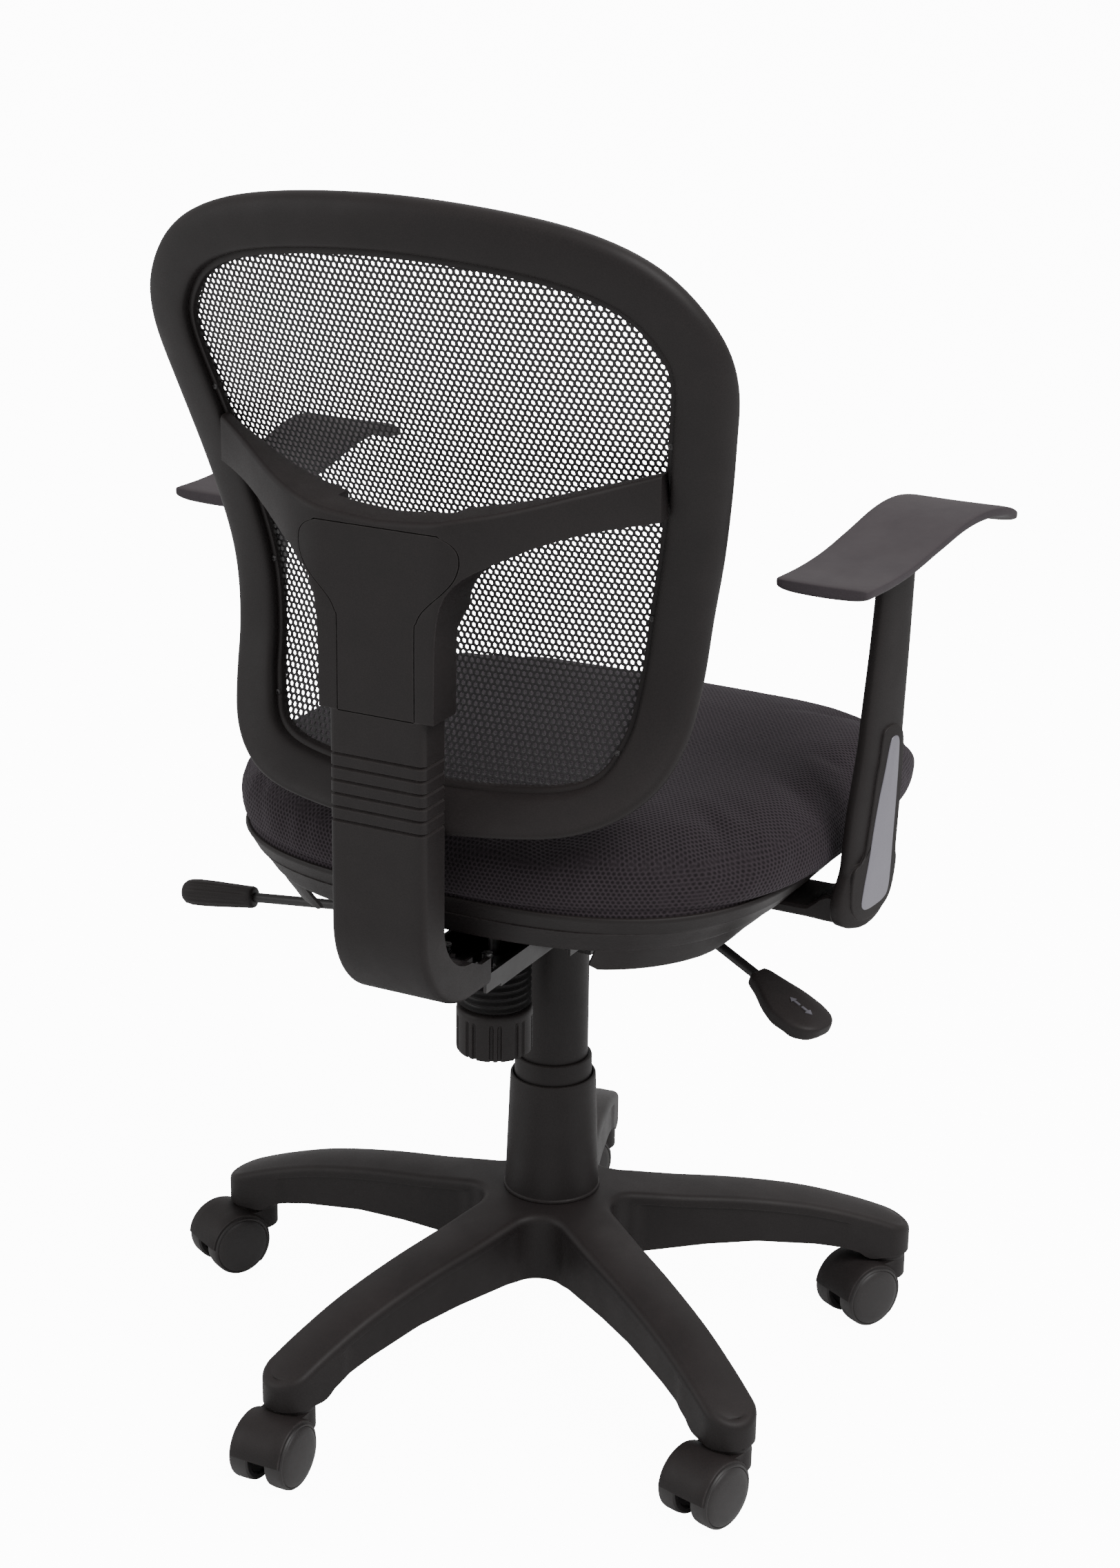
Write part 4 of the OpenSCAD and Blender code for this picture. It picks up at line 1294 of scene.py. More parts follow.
def seat_ring(half: float, rear: float, front: float, z: float, count: int = 96, soft_rear: float = 2.9,
              soft_front: float = 3.6) -> np.ndarray:
    """A closed outline of the seat at a height: rounder behind than in front.

    Args:
        half: Half width.
        rear: Reach behind the column.
        front: Reach in front of it.
        z: Height.
        count: Points round it.
        soft_rear: Squareness of the rear half.
        soft_front: Squareness of the front half.

    Returns:
        The ring's points.
    """
    ring = []
    for a in np.linspace(0, 2 * math.pi, count, endpoint=False):
        c, s = math.cos(a), math.sin(a)
        p = soft_rear if s > 0 else soft_front
        reach = rear if s > 0 else front
        ring.append((half * math.copysign(abs(c) ** (2 / p), c), reach * math.copysign(abs(s) ** (2 / p), s), z))
    return np.array(ring)


@dataclass
class SeatPan:
    """The moulded pan under the cushion: a rim band, a bowl, and side skirts that carry the bowl's wall down."""

    def build(self) -> None:
        """Makes the pan and the skirts."""
        low, high = corners("seat_pan")
        a, rear, front, rim = high[0], high[1], -low[1], high[2]
        floor = rim - 31
        steps = [(-70, floor), (-30, floor), (-24.5, floor + 0.3), (-21.5, floor + 1.6), (-19, floor + 4),
                 (-16, floor + 8), (-12.5, floor + 12), (-9.4, floor + 15.2), (-7.4, floor + 17),
                 (-6.6, floor + 17.8), (-5.6, floor + 18.2), (-5.0, floor + 19), (-4.6, floor + 20),
                 (-0.6, rim - 4.2), (0.2, rim - 3.2), (0.7, rim - 2.2), (0.6, rim - 0.8), (-0.2, rim + 0.4),
                 (-1.4, rim + 0.8), (-2.8, rim + 0.5), (-3.8, rim - 0.6), (-4.2, rim - 4), (-6, rim - 11)]
        rings = [seat_ring(a + d, rear + d * (0.55 if d < -6 else 0.8), front + d * (1.1 if d < -6 else 1), z) for d,
                 z in steps]
        piece = finish_mesh(Shell().loft(rings, caps=True).object("pan"), 36)
        skirt = Shell()
        for side in (-1, 1):
            for front_part in (False, True):
                skirt.loft(self.skirt(side, front_part, a, rear, front, floor))
        skirts = finish_mesh(skirt.object("pan_skirts"), 50)
        dress(join_pieces(piece, skirts), Finish.PLASTIC, "carriage", "seat_pan")

    def skirt(self, side: int, front_part: bool, a: float, rear: float, front: float, floor: float) -> list:
        """One skirt wall, as sections along the pan's outline.

        Args:
            side: -1 for the sitter's right.
            front_part: Whether it stands in front of the arm bracket.
            a: Half width of the pan.
            rear: Its reach behind the column.
            front: Its reach in front.
            floor: Height of the pan's underside.

        Returns:
            The sections.
        """
        sections = []
        degrees = np.linspace(9, 61, 24) if not front_part else np.linspace(-61, -16, 20)
        for n, angle in enumerate(degrees):
            ends = (n / (len(degrees) - 1), 1 - n / (len(degrees) - 1))
            arm_end = ends[1] if front_part else ends[0]
            far_end = ends[0] if front_part else ends[1]
            rise = 11.5 * float(1 - ease(-0.25, 0.34, arm_end)) + 3.2 * float(1 - ease(0.0, 0.05, far_end))
            section = []
            for d, z in ((-39, 401), (-37.3, 401.0), (-36, 401.9), (-33.5, 405.5), (-27.5, 413), (-21.4, floor + 2),
                         (-25, floor + 2), (-31, 413), (-37, 405.5), (-38.6, 402.5)):
                c, s = math.cos(math.radians(angle)), math.sin(math.radians(angle))
                p, reach = (2.9, rear + d * 0.62) if s > 0 else (3.6, front + d)
                x, y = (a + d) * abs(c) ** (2 / p), reach * math.copysign(abs(s) ** (2 / p), s)
                share = max(0.0, min(1.0, (floor + 2 - z) / (floor + 2 - 401)))
                section.append((side * x, y, z + rise * share))
            sections.append(section)
        return sections


@dataclass
class Cushion:
    """The seat cushion: a knit cover over foam, swelled by a cloth simulation."""

    voxel: float = 5.0
    pressure: float = 4.0
    frames: int = 20
    cap: float = 9.0
    corner: float = 4.4

    def start_shape(self) -> bpy.types.Object:
        """A slightly small crowned form whose sides tuck under to the pan's rim."""
        low, high = corners("seat_cushion")
        a, rear, front, z0 = high[0], high[1], -low[1], low[2]
        levels = [(-13, -13, -13, z0 + 0.6), (-7, -7, -6, z0 + 4), (-2.5, -2.5, -2, z0 + 11),
                  (-1.5, -1.5, -1, z0 + 20), (-3.5, -3, -3, z0 + 29), (-8, -7, -9, z0 + 37), (-18, -16, -22, z0 + 44),
                  (-36, -34, -46, z0 + 48.5), (-70, -66, -84, z0 + 50.5), (-120, -112, -130, z0 + 51)]
        rings = [seat_ring(a + da, rear + dr, front + df, z, 120, 2.5, self.corner) for da, dr, df, z in levels]
        rings = [self.shape(ring) for ring in rings]
        bottom = seat_ring(a - 60, rear - 60, front - 60, z0 + 0.6, 120, 2.5, self.corner)
        shell = Shell().loft([bottom, *rings])
        return shell.object("cushion")

    def shape(self, ring: np.ndarray) -> np.ndarray:
        """Lowers the front edge into a waterfall and dishes the middle a little."""
        ring = ring.copy()
        top = ease(465, 500, ring[:, 2])
        ring[:, 2] -= top * 15 * ease(110, 250, -ring[:, 1]) ** 1.3
        ring[:, 2] -= top * 3.0 * ease(120, 215, ring[:, 1])
        return ring

    def swell(self, piece: bpy.types.Object) -> None:
        """Runs the cloth with inner pressure and caps how far a point moves.

        Args:
            piece: The closed shape, already remeshed.
        """
        mesh = piece.data
        before = np.array([v.co for v in mesh.vertices])
        floor = before[:, 2].min()
        group = piece.vertex_groups.new(name="held")
        for i, point in enumerate(before):
            if point[2] < floor + 4 * MM:
                group.add([i], 1.0, "REPLACE")
        cloth = piece.modifiers.new("cover", "CLOTH")
        cloth.settings.quality = 6
        cloth.settings.mass = 0.4
        cloth.settings.use_pressure = True
        cloth.settings.uniform_pressure_force = self.pressure
        cloth.settings.tension_stiffness = 22
        cloth.settings.compression_stiffness = 22
        cloth.settings.shear_stiffness = 10
        cloth.settings.bending_stiffness = 3
        cloth.settings.vertex_group_mass = "held"
        cloth.settings.effector_weights.gravity = 0.0
        cloth.collision_settings.use_collision = False
        cloth.point_cache.frame_start = 1
        cloth.point_cache.frame_end = self.frames
        scene = bpy.context.scene
        for step in range(1, self.frames + 1):
            scene.frame_set(step)
        graph = bpy.context.evaluated_depsgraph_get()
        made = bpy.data.meshes.new_from_object(piece.evaluated_get(graph))
        after = np.array([v.co for v in made.vertices])
        move = after - before
        far = np.linalg.norm(move, axis=1)
        limit = self.cap * MM
        move *= (limit * np.tanh(far / limit) / np.maximum(far, 1e-9))[:, None]
        final = before + move
        final[:, 2] = np.maximum(final[:, 2], floor)
        piece.modifiers.clear()
        mesh.vertices.foreach_set("co", final.reshape(-1))
        mesh.update()
        bpy.data.meshes.remove(made)
        scene.frame_set(1)

    def turned_edge(self) -> bpy.types.Object:
        """The cover's hem, which goes round the board's edge and down into the pan."""
        low, high = corners("seat_board")
        a, rear, front = high[0], high[1], -low[1]
        steps = [(0.5, low[2] + 1.5), (1.7, low[2] + 1.2), (2.3, low[2] + 2.5), (2.6, high[2] - 1),
                 (2.2, high[2] + 4), (1.2, high[2] + 7), (0.5, high[2] + 6), (0.5, high[2] - 1)]
        rings = [seat_ring(a + d, rear + d, front + d, z, 120) for d, z in steps]
        return finish_mesh(Shell().loft(rings, closed=True).object("cushion_hem"), 60)

    def build(self) -> None:
        dress(self.turned_edge(), Finish.FABRIC, "carriage")
        piece = self.start_shape()
        remesh = piece.modifiers.new("even", "REMESH")
        remesh.mode = "VOXEL"
        remesh.voxel_size = self.voxel * MM
        settle(piece)
        self.swell(piece)
        relax = piece.modifiers.new("relax", "SMOOTH")
        relax.factor = 0.5
        relax.iterations = 6
        subdivide(piece, 1)
        finish_mesh(piece, 80)
        dress(piece, Finish.FABRIC, "carriage", "seat_cushion")


# ---------------------------------------------------------------- arms


@dataclass
class Arm:
    """One arm: a slim upright that ends in a shoe, a raised plate with a silver insert, a bracket and the pad.

    The upright is drawn in its own frame: X goes inwards from the plane of its outer face, Y along the face to the
    rear, and the whole is turned a little so that the face looks outwards and back.
    """

    side: int
    turn: float = math.radians(-14)
    face: float = 266.0
    start: float = -20.0
    rim_fall: float = 2.6
    post_edges: tuple = ((450, -1.5, 54), (463, -1, 53.4), (497, -3.3, 49.3), (517, -4.6, 45.4), (547, -6.4, 39.4),
                         (571, -7.5, 36.8), (615, -9.6, 31), (652, -11, 27.3), (678, -12, 25.5))
    shoe_edges: tuple = ((412.2, 27, 47), (413.2, 20, 52), (415.5, 14, 56), (419, 8.5, 59.4), (424, 4.4, 61.6),
                         (431, 2.2, 62), (438, 0.9, 60.4), (446, -0.9, 57), (452, -2.2, 54.2), (457, -2.8, 52.6),
                         (460, -2.9, 52), (461.6, -2.2, 51.2))
    plate_edge: tuple = ((10.5, 559.2), (16, 559), (21.6, 556.6), (24, 550.4), (26, 535.3), (29, 523.1),
                         (32.3, 501.8), (35.7, 481.7), (38.4, 467.7), (43, 461.3), (49, 458.6), (52, 452), (53, 440),
                         (52, 428), (45, 419), (34, 416), (22, 417.5), (11, 423), (5, 430), (1.5, 441), (-0.5, 455),
                         (0.8, 462), (0, 480), (-1.5, 505), (-2.2, 530), (-1.6, 548), (3, 556.5))
    insert_edge: tuple = ((9, 550.8), (13.6, 549.6), (15.6, 545), (17.5, 538), (21, 523.5), (25.7, 506.5),
                          (30, 486.6), (33.9, 463.9), (38.5, 444.0), (40.7, 432.0), (40.4, 427.4), (37.4, 424.6),
                          (32, 424.0), (24, 425), (16.4, 426.8), (10.8, 430.4), (8.3, 438), (7.2, 452), (6.2, 475),
                          (5.0, 498), (4.2, 524), (4.2, 543), (5.6, 549))

    @property
    def word(self) -> str:
        """The sitter's side, as the nodes name it."""
        return "right" if self.side < 0 else "left"

    def slab(self, edges: Sequence, thick: Sequence, out: float, count: int, name: str) -> bpy.types.Object:
        """A standing slab with full round front and rear edges.

        Args:
            edges: Its (height, front edge, rear edge) stations.
            thick: Its thickness at the foot and at the head.
            out: How far its outer face stands out from the face's plane.
            count: How many sections.
            name: The object's name.

        Returns:
            The slab, in the upright's own frame.
        """
        heights = [e[0] for e in edges]
        stations = np.unique(np.concatenate([np.linspace(heights[0], heights[-1], count), heights]))
        rings = []
        for z in stations:
            front, rear = profile([(e[0], e[1]) for e in edges], z), profile([(e[0], e[2]) for e in edges], z)
            t = thick[0] + (thick[1] - thick[0]) * (z - heights[0]) / (heights[-1] - heights[0])
            mid, half = (front + rear) / 2, (rear - front) / 2
            ring = []
            for a in np.linspace(0, 2 * math.pi, 48, endpoint=False):
                c, n = math.cos(a), math.sin(a)
                ring.append((-out + t / 2 * (1 + math.copysign(abs(c) ** 0.5, c)),
                             mid + half * math.copysign(abs(n) ** 0.82, n), z))
            rings.append(ring)
        return Shell().loft(rings).object(name)

    def bracket(self) -> bpy.types.Object:
        """The foot's bracket that runs under the pan and rises outside its rim."""
        rings = []
        for x in [-253, -248, -240, -232, -226, -222, -216, -208, -198, -186, -170, -156, -152]:
            near = float(ease(-214, -232, x))
            y0, y1, z0, z1 = -33 + 16 * near, 21.5 + 1.5 * near, 412.0, 420.2 + 12.5 * near
            rings.append([(x, y0 + 2, z0), (x, y1 - 2, z0), (x, y1, z0 + 2), (x, y1, z1 - 2), (x, y1 - 2, z1),
                          (x, y0 + 2, z1), (x, y0, z1 - 2), (x, y0, z0 + 2)])
        return Shell().loft(rings).object("bracket")

    def plate(self, edge: Sequence, low: float, high: float, soft: float, name: str) -> bpy.types.Object:
        """A plate on the upright's face with a rounded rim.

        Args:
            edge: Its closed outline along the face and up.
            low: How far its back is from the face's plane.
            high: How far its face is.
            soft: Width of the rounded rim.
            name: The object's name.

        Returns:
            The plate, in the upright's own frame.
        """
        outline = smooth_path(edge, 110, closed=True)
        area = np.sum(outline[:, 0] * np.roll(outline[:, 1], -1) - outline[:, 1] * np.roll(outline[:, 0], -1))
        rings = []
        for a in (None, 0.0, 0.4, 0.8, 1.2, math.pi / 2):
            inset = 0.0 if a is None else soft * (1 - math.cos(a))
            reach = low if a is None else high - soft * (1 - math.sin(a))
            line = offset_curve(outline, inset if area > 0 else -inset)
            rings.append([(-reach, f, z) for f, z in line])
        return Shell().loft(rings).object(name)

    def pad(self) -> bpy.types.Object:
        """The pad: a long slim slab with a low hump in front, a bent tip and rounded rims."""
        top = ((-158, 684), (-150, 688.5), (-132, 696.0), (-104, 700.2), (-70, 698.6), (-30, 691.4), (10, 685.6),
               (50, 683.9), (92, 685.2))
        inner = ((-158, 229), (-148, 222.5), (-100, 217.5), (-60, 215), (0, 212), (92, 210))
        outer = ((-158, 294), (-148, 299.5), (-128, 299), (-80, 291), (-20, 284), (40, 281), (92, 279))
        rings = []
        stations = np.concatenate([[-156, -155, -153, -150, -146], np.linspace(-140, 84, 36), [87, 89.3, 90.6, 91]])
        for y in stations:
            z, a, b = profile(top, y), profile(inner, y), profile(outer, y)
            past = max(0.0, y - 86) / 5.2 if y > 0 else max(0.0, -146 - y) / 10.4
            end = math.sqrt(max(0.0, 1 - past ** 2)) * 0.55 + 0.45
            trim, fall, sunk = (1 - end) * 6, self.rim_fall * end, z - (1 - end) * 3
            a, b = a + trim, b - trim
            mid, w, thick = (a + b) / 2, (b - a) / 2, (11.5 - 1.5 * float(ease(-110, -150, y))) * end
            ring = []
            for t in np.linspace(0, 2 * math.pi, 44, endpoint=False):
                c, n = math.cos(t), math.sin(t)
                px = w * math.copysign(abs(c) ** 0.30, c)
                if n >= 0:
                    pz = sunk - fall * (1 - abs(n) ** 0.5) - 0.9 * (1 - (px / w) ** 2)
                else:
                    pz = sunk - fall - (thick - fall) * abs(n) ** 0.42 * (1 - 0.28 * (px / w) ** 2)
                ring.append((-(mid + px), y, pz))
            rings.append(ring)
        return Shell().loft(rings).object("pad")

    def build(self) -> None:
        """Makes the arm's pieces, mirrored for the sitter's left."""
        post = self.slab(self.post_edges, (13.5, 13.0), 0.0, 30, "post")
        shoe = self.slab(self.shoe_edges, (17.0, 16.5), 1.4, 20, "shoe")
        raised = self.plate(self.plate_edge, -3.0, 1.7, 1.2, "raised")
        silver = self.plate(self.insert_edge, -1.0, 2.3, 0.8, "insert")
        place = Matrix.Translation((-self.face, self.start, 0)) @ Matrix.Rotation(self.turn, 4, "Z")
        for piece in (post, shoe, raised, silver):
            piece.data.transform(metric(place))
        pad, bracket = self.pad(), self.bracket()
        cut(post, shoe, bracket, join=True)
        round_edges(post, 1.0, 3, 50)
        post = join_pieces(post, raised)
        pieces = [(post, "arm", Finish.PLASTIC), (silver, "arm_insert", Finish.SILVER), (pad, "arm_pad", Finish.PAD)]
        for piece, node, finish in pieces:
            if self.side > 0:
                piece.data.transform(Matrix.Scale(-1, 4, (1, 0, 0)))
                piece.data.flip_normals()
            if node == "arm_pad":
                subdivide(piece, 1)
            finish_mesh(piece, 36 if node != "arm_pad" else 55)
            piece.name = f"{node}_{self.word}_shape"
            dress(piece, finish, "carriage", f"{node}_{self.word}")


# ---------------------------------------------------------------- back


@dataclass
class BackSurface:
    """The rear surface of the back: forward at the waist, back at the top, wrapped round the sitter."""

    middle: float = 728.0
    scale: float = 208.0

    def y(self, x: Numbers, z: Numbers) -> Numbers:
        """How far behind the column the surface is at a place."""
        t = (np.asarray(z, float) - self.middle) / self.scale
        return 193 + 67 * t + 50 * t * t - 56 * t ** 3 - 0.00072 * np.asarray(x, float) ** 2


@dataclass
class Backrest:
    """The back frame, the ring that grips the mesh, its screws and the stretched mesh."""

    surface: BackSurface = field(default_factory=BackSurface)
    widest: float = 836.0
    outline: tuple = ((0, 927), (73, 923), (130, 913), (170, 895), (195, 866), (203, 836), (196, 790), (182, 720),
                      (171, 666), (165, 614), (160, 578), (146, 550), (116, 533), (60, 526), (0, 524))
    samples: int = 192
    pitch: float = 4.75
    thread: float = 1.75
    section: tuple = ((-18.5, 8), (-18.4, 4.4), (-17.3, 1.9), (-15.2, 0.5), (-11, -0.2), (-4, -0.6), (4, -0.5),
                      (10, 0.3), (14, 1.8), (16.8, 4.2), (18.3, 7.6), (18.4, 11.5), (17.2, 15.2), (14.2, 18),
                      (9, 19.7), (1, 20.2), (-8, 19.9), (-14, 18.6), (-17.4, 16.2), (-18.5, 12.5))

    def loop(self) -> np.ndarray:
        """The middle line of the frame, seen from behind, as (x, z) points."""
        left = [(-x, z) for x, z in self.outline[-2:0:-1]]
        return smooth_path([*self.outline, *left], self.samples, closed=True)

    def band(self, z: Numbers) -> Numbers:
        """Half width of the frame band at a height: slimmer along the bottom."""
        return 13.0 + 5.5 * ease(524, 566, z)

    def spot(self, line: np.ndarray, index: int, out: float, forward: float) -> tuple:
        """A point of the frame, moved across the band and forward.

        Args:
            line: The frame's middle line.
            index: Which point of it.
            out: Millimetres outwards.
            forward: Millimetres towards the sitter.

        Returns:
            The point.
        """
        n = len(line)
        tangent = line[(index + 1) % n] - line[(index - 1) % n]
        tangent = tangent / np.linalg.norm(tangent)
        x, z = line[index][0] - out * tangent[1], line[index][1] + out * tangent[0]
        return (x, float(self.surface.y(x, z)) - forward, z)

    def ring_of(self, section: Sequence, name: str) -> bpy.types.Object:
        """A closed band round the frame with the given section."""
        line = self.loop()
        rings = []
        for i in range(len(line)):
            scale = float(self.band(line[i][1])) / 18.5
            rings.append([self.spot(line, i, o * scale, d) for o, d in section])
        return Shell().loft(rings, closed=True).object(name)

    def edge_at(self, line: np.ndarray, out: float) -> np.ndarray:
        """The frame's line moved across the band, seen from behind."""
        return np.array([self.spot(line, i, out * float(self.band(line[i][1])) / 18.5,
                                   0)[::2] for i in range(len(line))])

    def inside(self, edge: np.ndarray, x: np.ndarray, z: np.ndarray) -> np.ndarray:
        """Which places lie inside a closed line."""
        hit = np.zeros(len(x), bool)
        for (ax, az), (bx, bz) in zip(edge, np.roll(edge, -1, axis=0)):
            cross = (az > z) != (bz > z)
            with np.errstate(divide="ignore", invalid="ignore"):
                hit ^= cross & (x < (bx - ax) * (z - az) / (bz - az) + ax)
        return hit

    def mesh(self) -> bpy.types.Object:
        """The open knitted sheet: staggered six-sided holes between rounded threads."""
        line = self.loop()
        edge = self.edge_at(line, -15.0)
        p, rise = self.pitch, self.pitch * 0.86
        low, high = edge.min(axis=0), edge.max(axis=0)
        cells = []
        for row in range(int((high[1] - low[1]) / rise) + 2):
            z = low[1] + row * rise
            xs = np.arange(low[0] + (row % 2) * p / 2, high[0] + p, p)
            cells.extend((x, z) for x in xs)
        cells = np.array(cells)
        cells = cells[self.inside(edge, cells[:, 0], cells[:, 1])]
        angles = np.radians([30, 90, 150, 210, 270, 330])
        outer = np.stack([np.cos(angles) * p / math.sqrt(3), np.sin(angles) * rise / 1.5], axis=1)
        hole = outer * (1 - self.thread / p) * [1.0, 1.04]
        depth = 15.0
        lap = 0.5
        points, faces = [], []
        for x, z in cells:
            start = len(points)
            for corner, forward in ((outer, -lap), (hole, 0.35 - lap), (hole, 0.75 + lap), (outer, 0.75 + lap + 0.2)):
                px, pz = x + corner[:, 0], z + corner[:, 1]
                py = self.surface.y(px, pz) - depth - forward
                points.extend(zip(px, py, pz))
            for layer in range(3):
                for k in range(6):
                    a, b = start + layer * 6 + k, start + layer * 6 + (k + 1) % 6
                    faces.append((a, b, b + 6, a + 6))
        shell = Shell()
        shell.points, shell.faces = points, faces
        piece = shell.object("back_mesh_sheet", weld=0.12)
        LOG.info("mesh has %d holes", len(cells))
        return piece

    def length_over(self, x: np.ndarray, z: np.ndarray) -> float:
        """Length of a line laid over the curved surface."""
        line = np.stack([x, self.surface.y(x, z), z], axis=1)
        return float(np.linalg.norm(np.diff(line, axis=0), axis=1).sum())

    def flat_size(self) -> tuple:
        """The cut's width and length over the curved surface, and its area, in metres."""
        line = self.loop()
        edge = self.edge_at(line, -15.0)
        low, high = edge.min(axis=0), edge.max(axis=0)
        xs = np.linspace(low[0], high[0], 80)
        zs = np.linspace(low[1], high[1], 80)
        width = self.length_over(xs, np.full(80, self.widest))
        length = self.length_over(np.zeros(80), zs)
        gx, gz = np.meshgrid(xs, zs)
        keep = self.inside(edge, gx.ravel(), gz.ravel()).reshape(gx.shape)
        slope_x = np.gradient(self.surface.y(gx, gz), xs, axis=1)
        slope_z = np.gradient(self.surface.y(gx, gz), zs, axis=0)
        area = (np.sqrt(1 + slope_x ** 2 + slope_z ** 2) * keep).sum() * (xs[1] - xs[0]) * (zs[1] - zs[0])
        return width * MM, length * MM, area * MM * MM

    def screws(self) -> bpy.types.Object:
        """Small cross-head screws that hold the ring to the frame."""
        line = self.loop()
        heads = []
        for wanted in (557, 662, 790):
            for side in (1, -1):
                index = int(np.argmin(np.hypot((line[:, 0] - side * 170), (line[:, 1] - wanted) * 2.0)))
                spot = Vector(self.spot(line, index, -20.6 * float(self.band(line[index][1])) / 18.5, 7.4))
                heads.append(screw_head(along(spot, (side * 0.25, 1, 0)), 2.4, 1.2))
        return join_pieces(heads[0], *heads[1:])

    def build(self) -> None:
        """Makes the back's four pieces."""
        frame_piece = self.ring_of(self.section, "back_frame_band")
        subdivide(frame_piece, 1)
        dress(finish_mesh(frame_piece, 60), Finish.PLASTIC, "back", "back_frame")
        ring = self.ring_of(((-16, 8.4), (-19.6, 7.6), (-21.8, 7.5), (-22.7, 8.1), (-23.2, 9.4), (-23.2, 13.8),
                             (-22.4, 14.6), (-16, 14.6)),
                            "mesh_ring_band")
        dress(finish_mesh(ring, 40), Finish.PLASTIC, "back", "mesh_ring")
        screws = self.screws()
        screws.name = "ring_screws"
        dress(screws, Finish.BLACK_STEEL, "back", "frame_screws")
        sheet = finish_mesh(self.mesh(), 40)
        width, length, area = self.flat_size()
        dress(sheet, Finish.MESH, "back", "back_mesh")
        LOG.info("mesh cut: %.3f by %.3f m, %.4f m2", width, length, area)


@dataclass
class Spine:
    """The J-shaped spine with its grooves and T-shaped head, and the yoke that carries the back frame."""

    half: float = 37.5
    corner: float = 5.0
    neck: float = 29.4
    step_z: float = 602.0
    gap: float = 0.7
    grooves: int = 6
    groove_top: float = 570.0
    groove_pitch: float = 9.6

    def rear(self) -> float:
        """The rear face of the spine."""
        return high_corner("spine_cover")[1]

    def top(self) -> float:
        """The top of the spine."""
        return high_corner("spine_cover")[2]

    def rear_y(self, x: Numbers) -> Numbers:
        """The shared rear surface of the yoke and the spine's head at a distance from the middle."""
        x = np.abs(np.asarray(x, float))
        return self.rear() - 80.0 * ease(40, 215, x) * 1.12 - 3.0 * ease(48, 100, x)

    def section(self, half: float, rear: float, front: float, corner: float) -> list:
        """A rounded rectangle across the spine as (x, y) points.

        Args:
            half: Half width.
            rear: Rear face.
            front: Front face.
            corner: Corner radius at the rear.

        Returns:
            The points, in order.
        """
        c = corner
        arc = [(math.cos(a), math.sin(a)) for a in np.linspace(0, math.pi / 2, 5)]
        right = [(half - c + c * u, rear - c + c * v) for u, v in arc]
        left = [(-half + c - c * u, rear - c + c * v) for u, v in reversed(arc)]
        flat = [(x, rear) for x in np.linspace(half - c, -half + c, 9)[1:-1]]
        return [(half, front), *right, *flat, *left, (-half, front)]

    def column(self) -> bpy.types.Object:
        """The J from under the seat up to the step below the head."""
        rear, tail = self.rear(), low_corner("spine_cover")[1]
        bottom = low_corner("spine_cover")[2]
        radius = 67.0
        bend = np.array([rear - radius, bottom + radius])
        stations = []
        for z in self.heights():
            stations.append(((0.0, z), 0.0, self.groove_depth(z)))
        for a in np.linspace(0, math.pi / 2, 22)[1:]:
            stations.append((None, a, 0.0))
        run = bend[0] - tail
        rings = []
        for spot, a, dip in stations:
            points = []
            for x, d in self.section(self.half - dip * 0.8, 0.0 - dip, -27.5, self.corner):
                if spot is not None:
                    points.append((x, rear + d, spot[1]))
                else:
                    r = radius + d
                    points.append((x, bend[0] + r * math.cos(a), bend[1] - r * math.sin(a)))
            rings.append(points)
        for share in (0.5, 1.0):
            rings.append([(x, bend[0] - run * share, bottom - d) for x,
                          d in self.section(self.half, 0.0, -21.0, self.corner)])
        piece = Shell().loft(rings).object("spine_column")
        hollow = block((-self.half + 3.5, tail - 5, bottom + 3.5), (self.half - 3.5, tail + 20, bottom + 40))
        cut(piece, hollow)
        ribs = [block((x - 1.2, tail + 1.5, bottom + 2), (x + 1.2, tail + 21, bottom + 19)) for x in (-22, -8, 8, 22)]
        return join_pieces(piece, *ribs)

    def heights(self) -> list:
        """The heights of the straight part's sections, with three more at every groove."""
        marks = set(np.linspace(445, self.step_z, 18).tolist())
        for k in range(self.grooves):
            z = self.groove_top - k * self.groove_pitch
            marks.update((z - 1.3, z - 0.75, z, z + 0.75, z + 1.3))
        return sorted(marks, reverse=True)

    def groove_depth(self, z: float) -> float:
        """How deep the surface dips at a height."""
        near = min(abs(z - (self.groove_top - k * self.groove_pitch)) for k in range(self.grooves))
        return 1.5 * float(1 - ease(0.3, 1.2, near))

    def head_half(self, z: float) -> float:
        """Half width of the T-shaped head at a height."""
        points = ((596, 29.4), (662, 29.4), (670, 30.6), (678, 34.5), (686, 42), (694, 50.5), (702, 57), (710, 60.2),
                  (717, 60.8), (723, 59), (728, 54), (731.5, 46))
        return float(profile(points, z))

    def head(self, grow: float, deep: float, name: str) -> bpy.types.Object:
        """The head as a thick plate on the shared rear surface.

        Args:
            grow: How much wider it is all round, for cutting its seat in the yoke.
            deep: Its thickness.
            name: The object's name.

        Returns:
            The plate.
        """
        low, high = self.step_z - 0.6 - (20 if grow else 0), 731.5 + grow
        rings = []
        for z in np.concatenate([np.linspace(low, 662, 8), np.linspace(664, high, 40)]):
            w = self.head_half(min(z, 731.5)) + grow
            xs = np.linspace(-w, w, 41)
            out = 6.0 if grow else 0.0
            back = [(x, float(self.rear_y(x)) + out, z) for x in xs]
            front = [(x, float(self.rear_y(x)) - deep, z) for x in xs[::-1]]
            rings.append(back + front)
        return Shell().loft(rings).object(name)

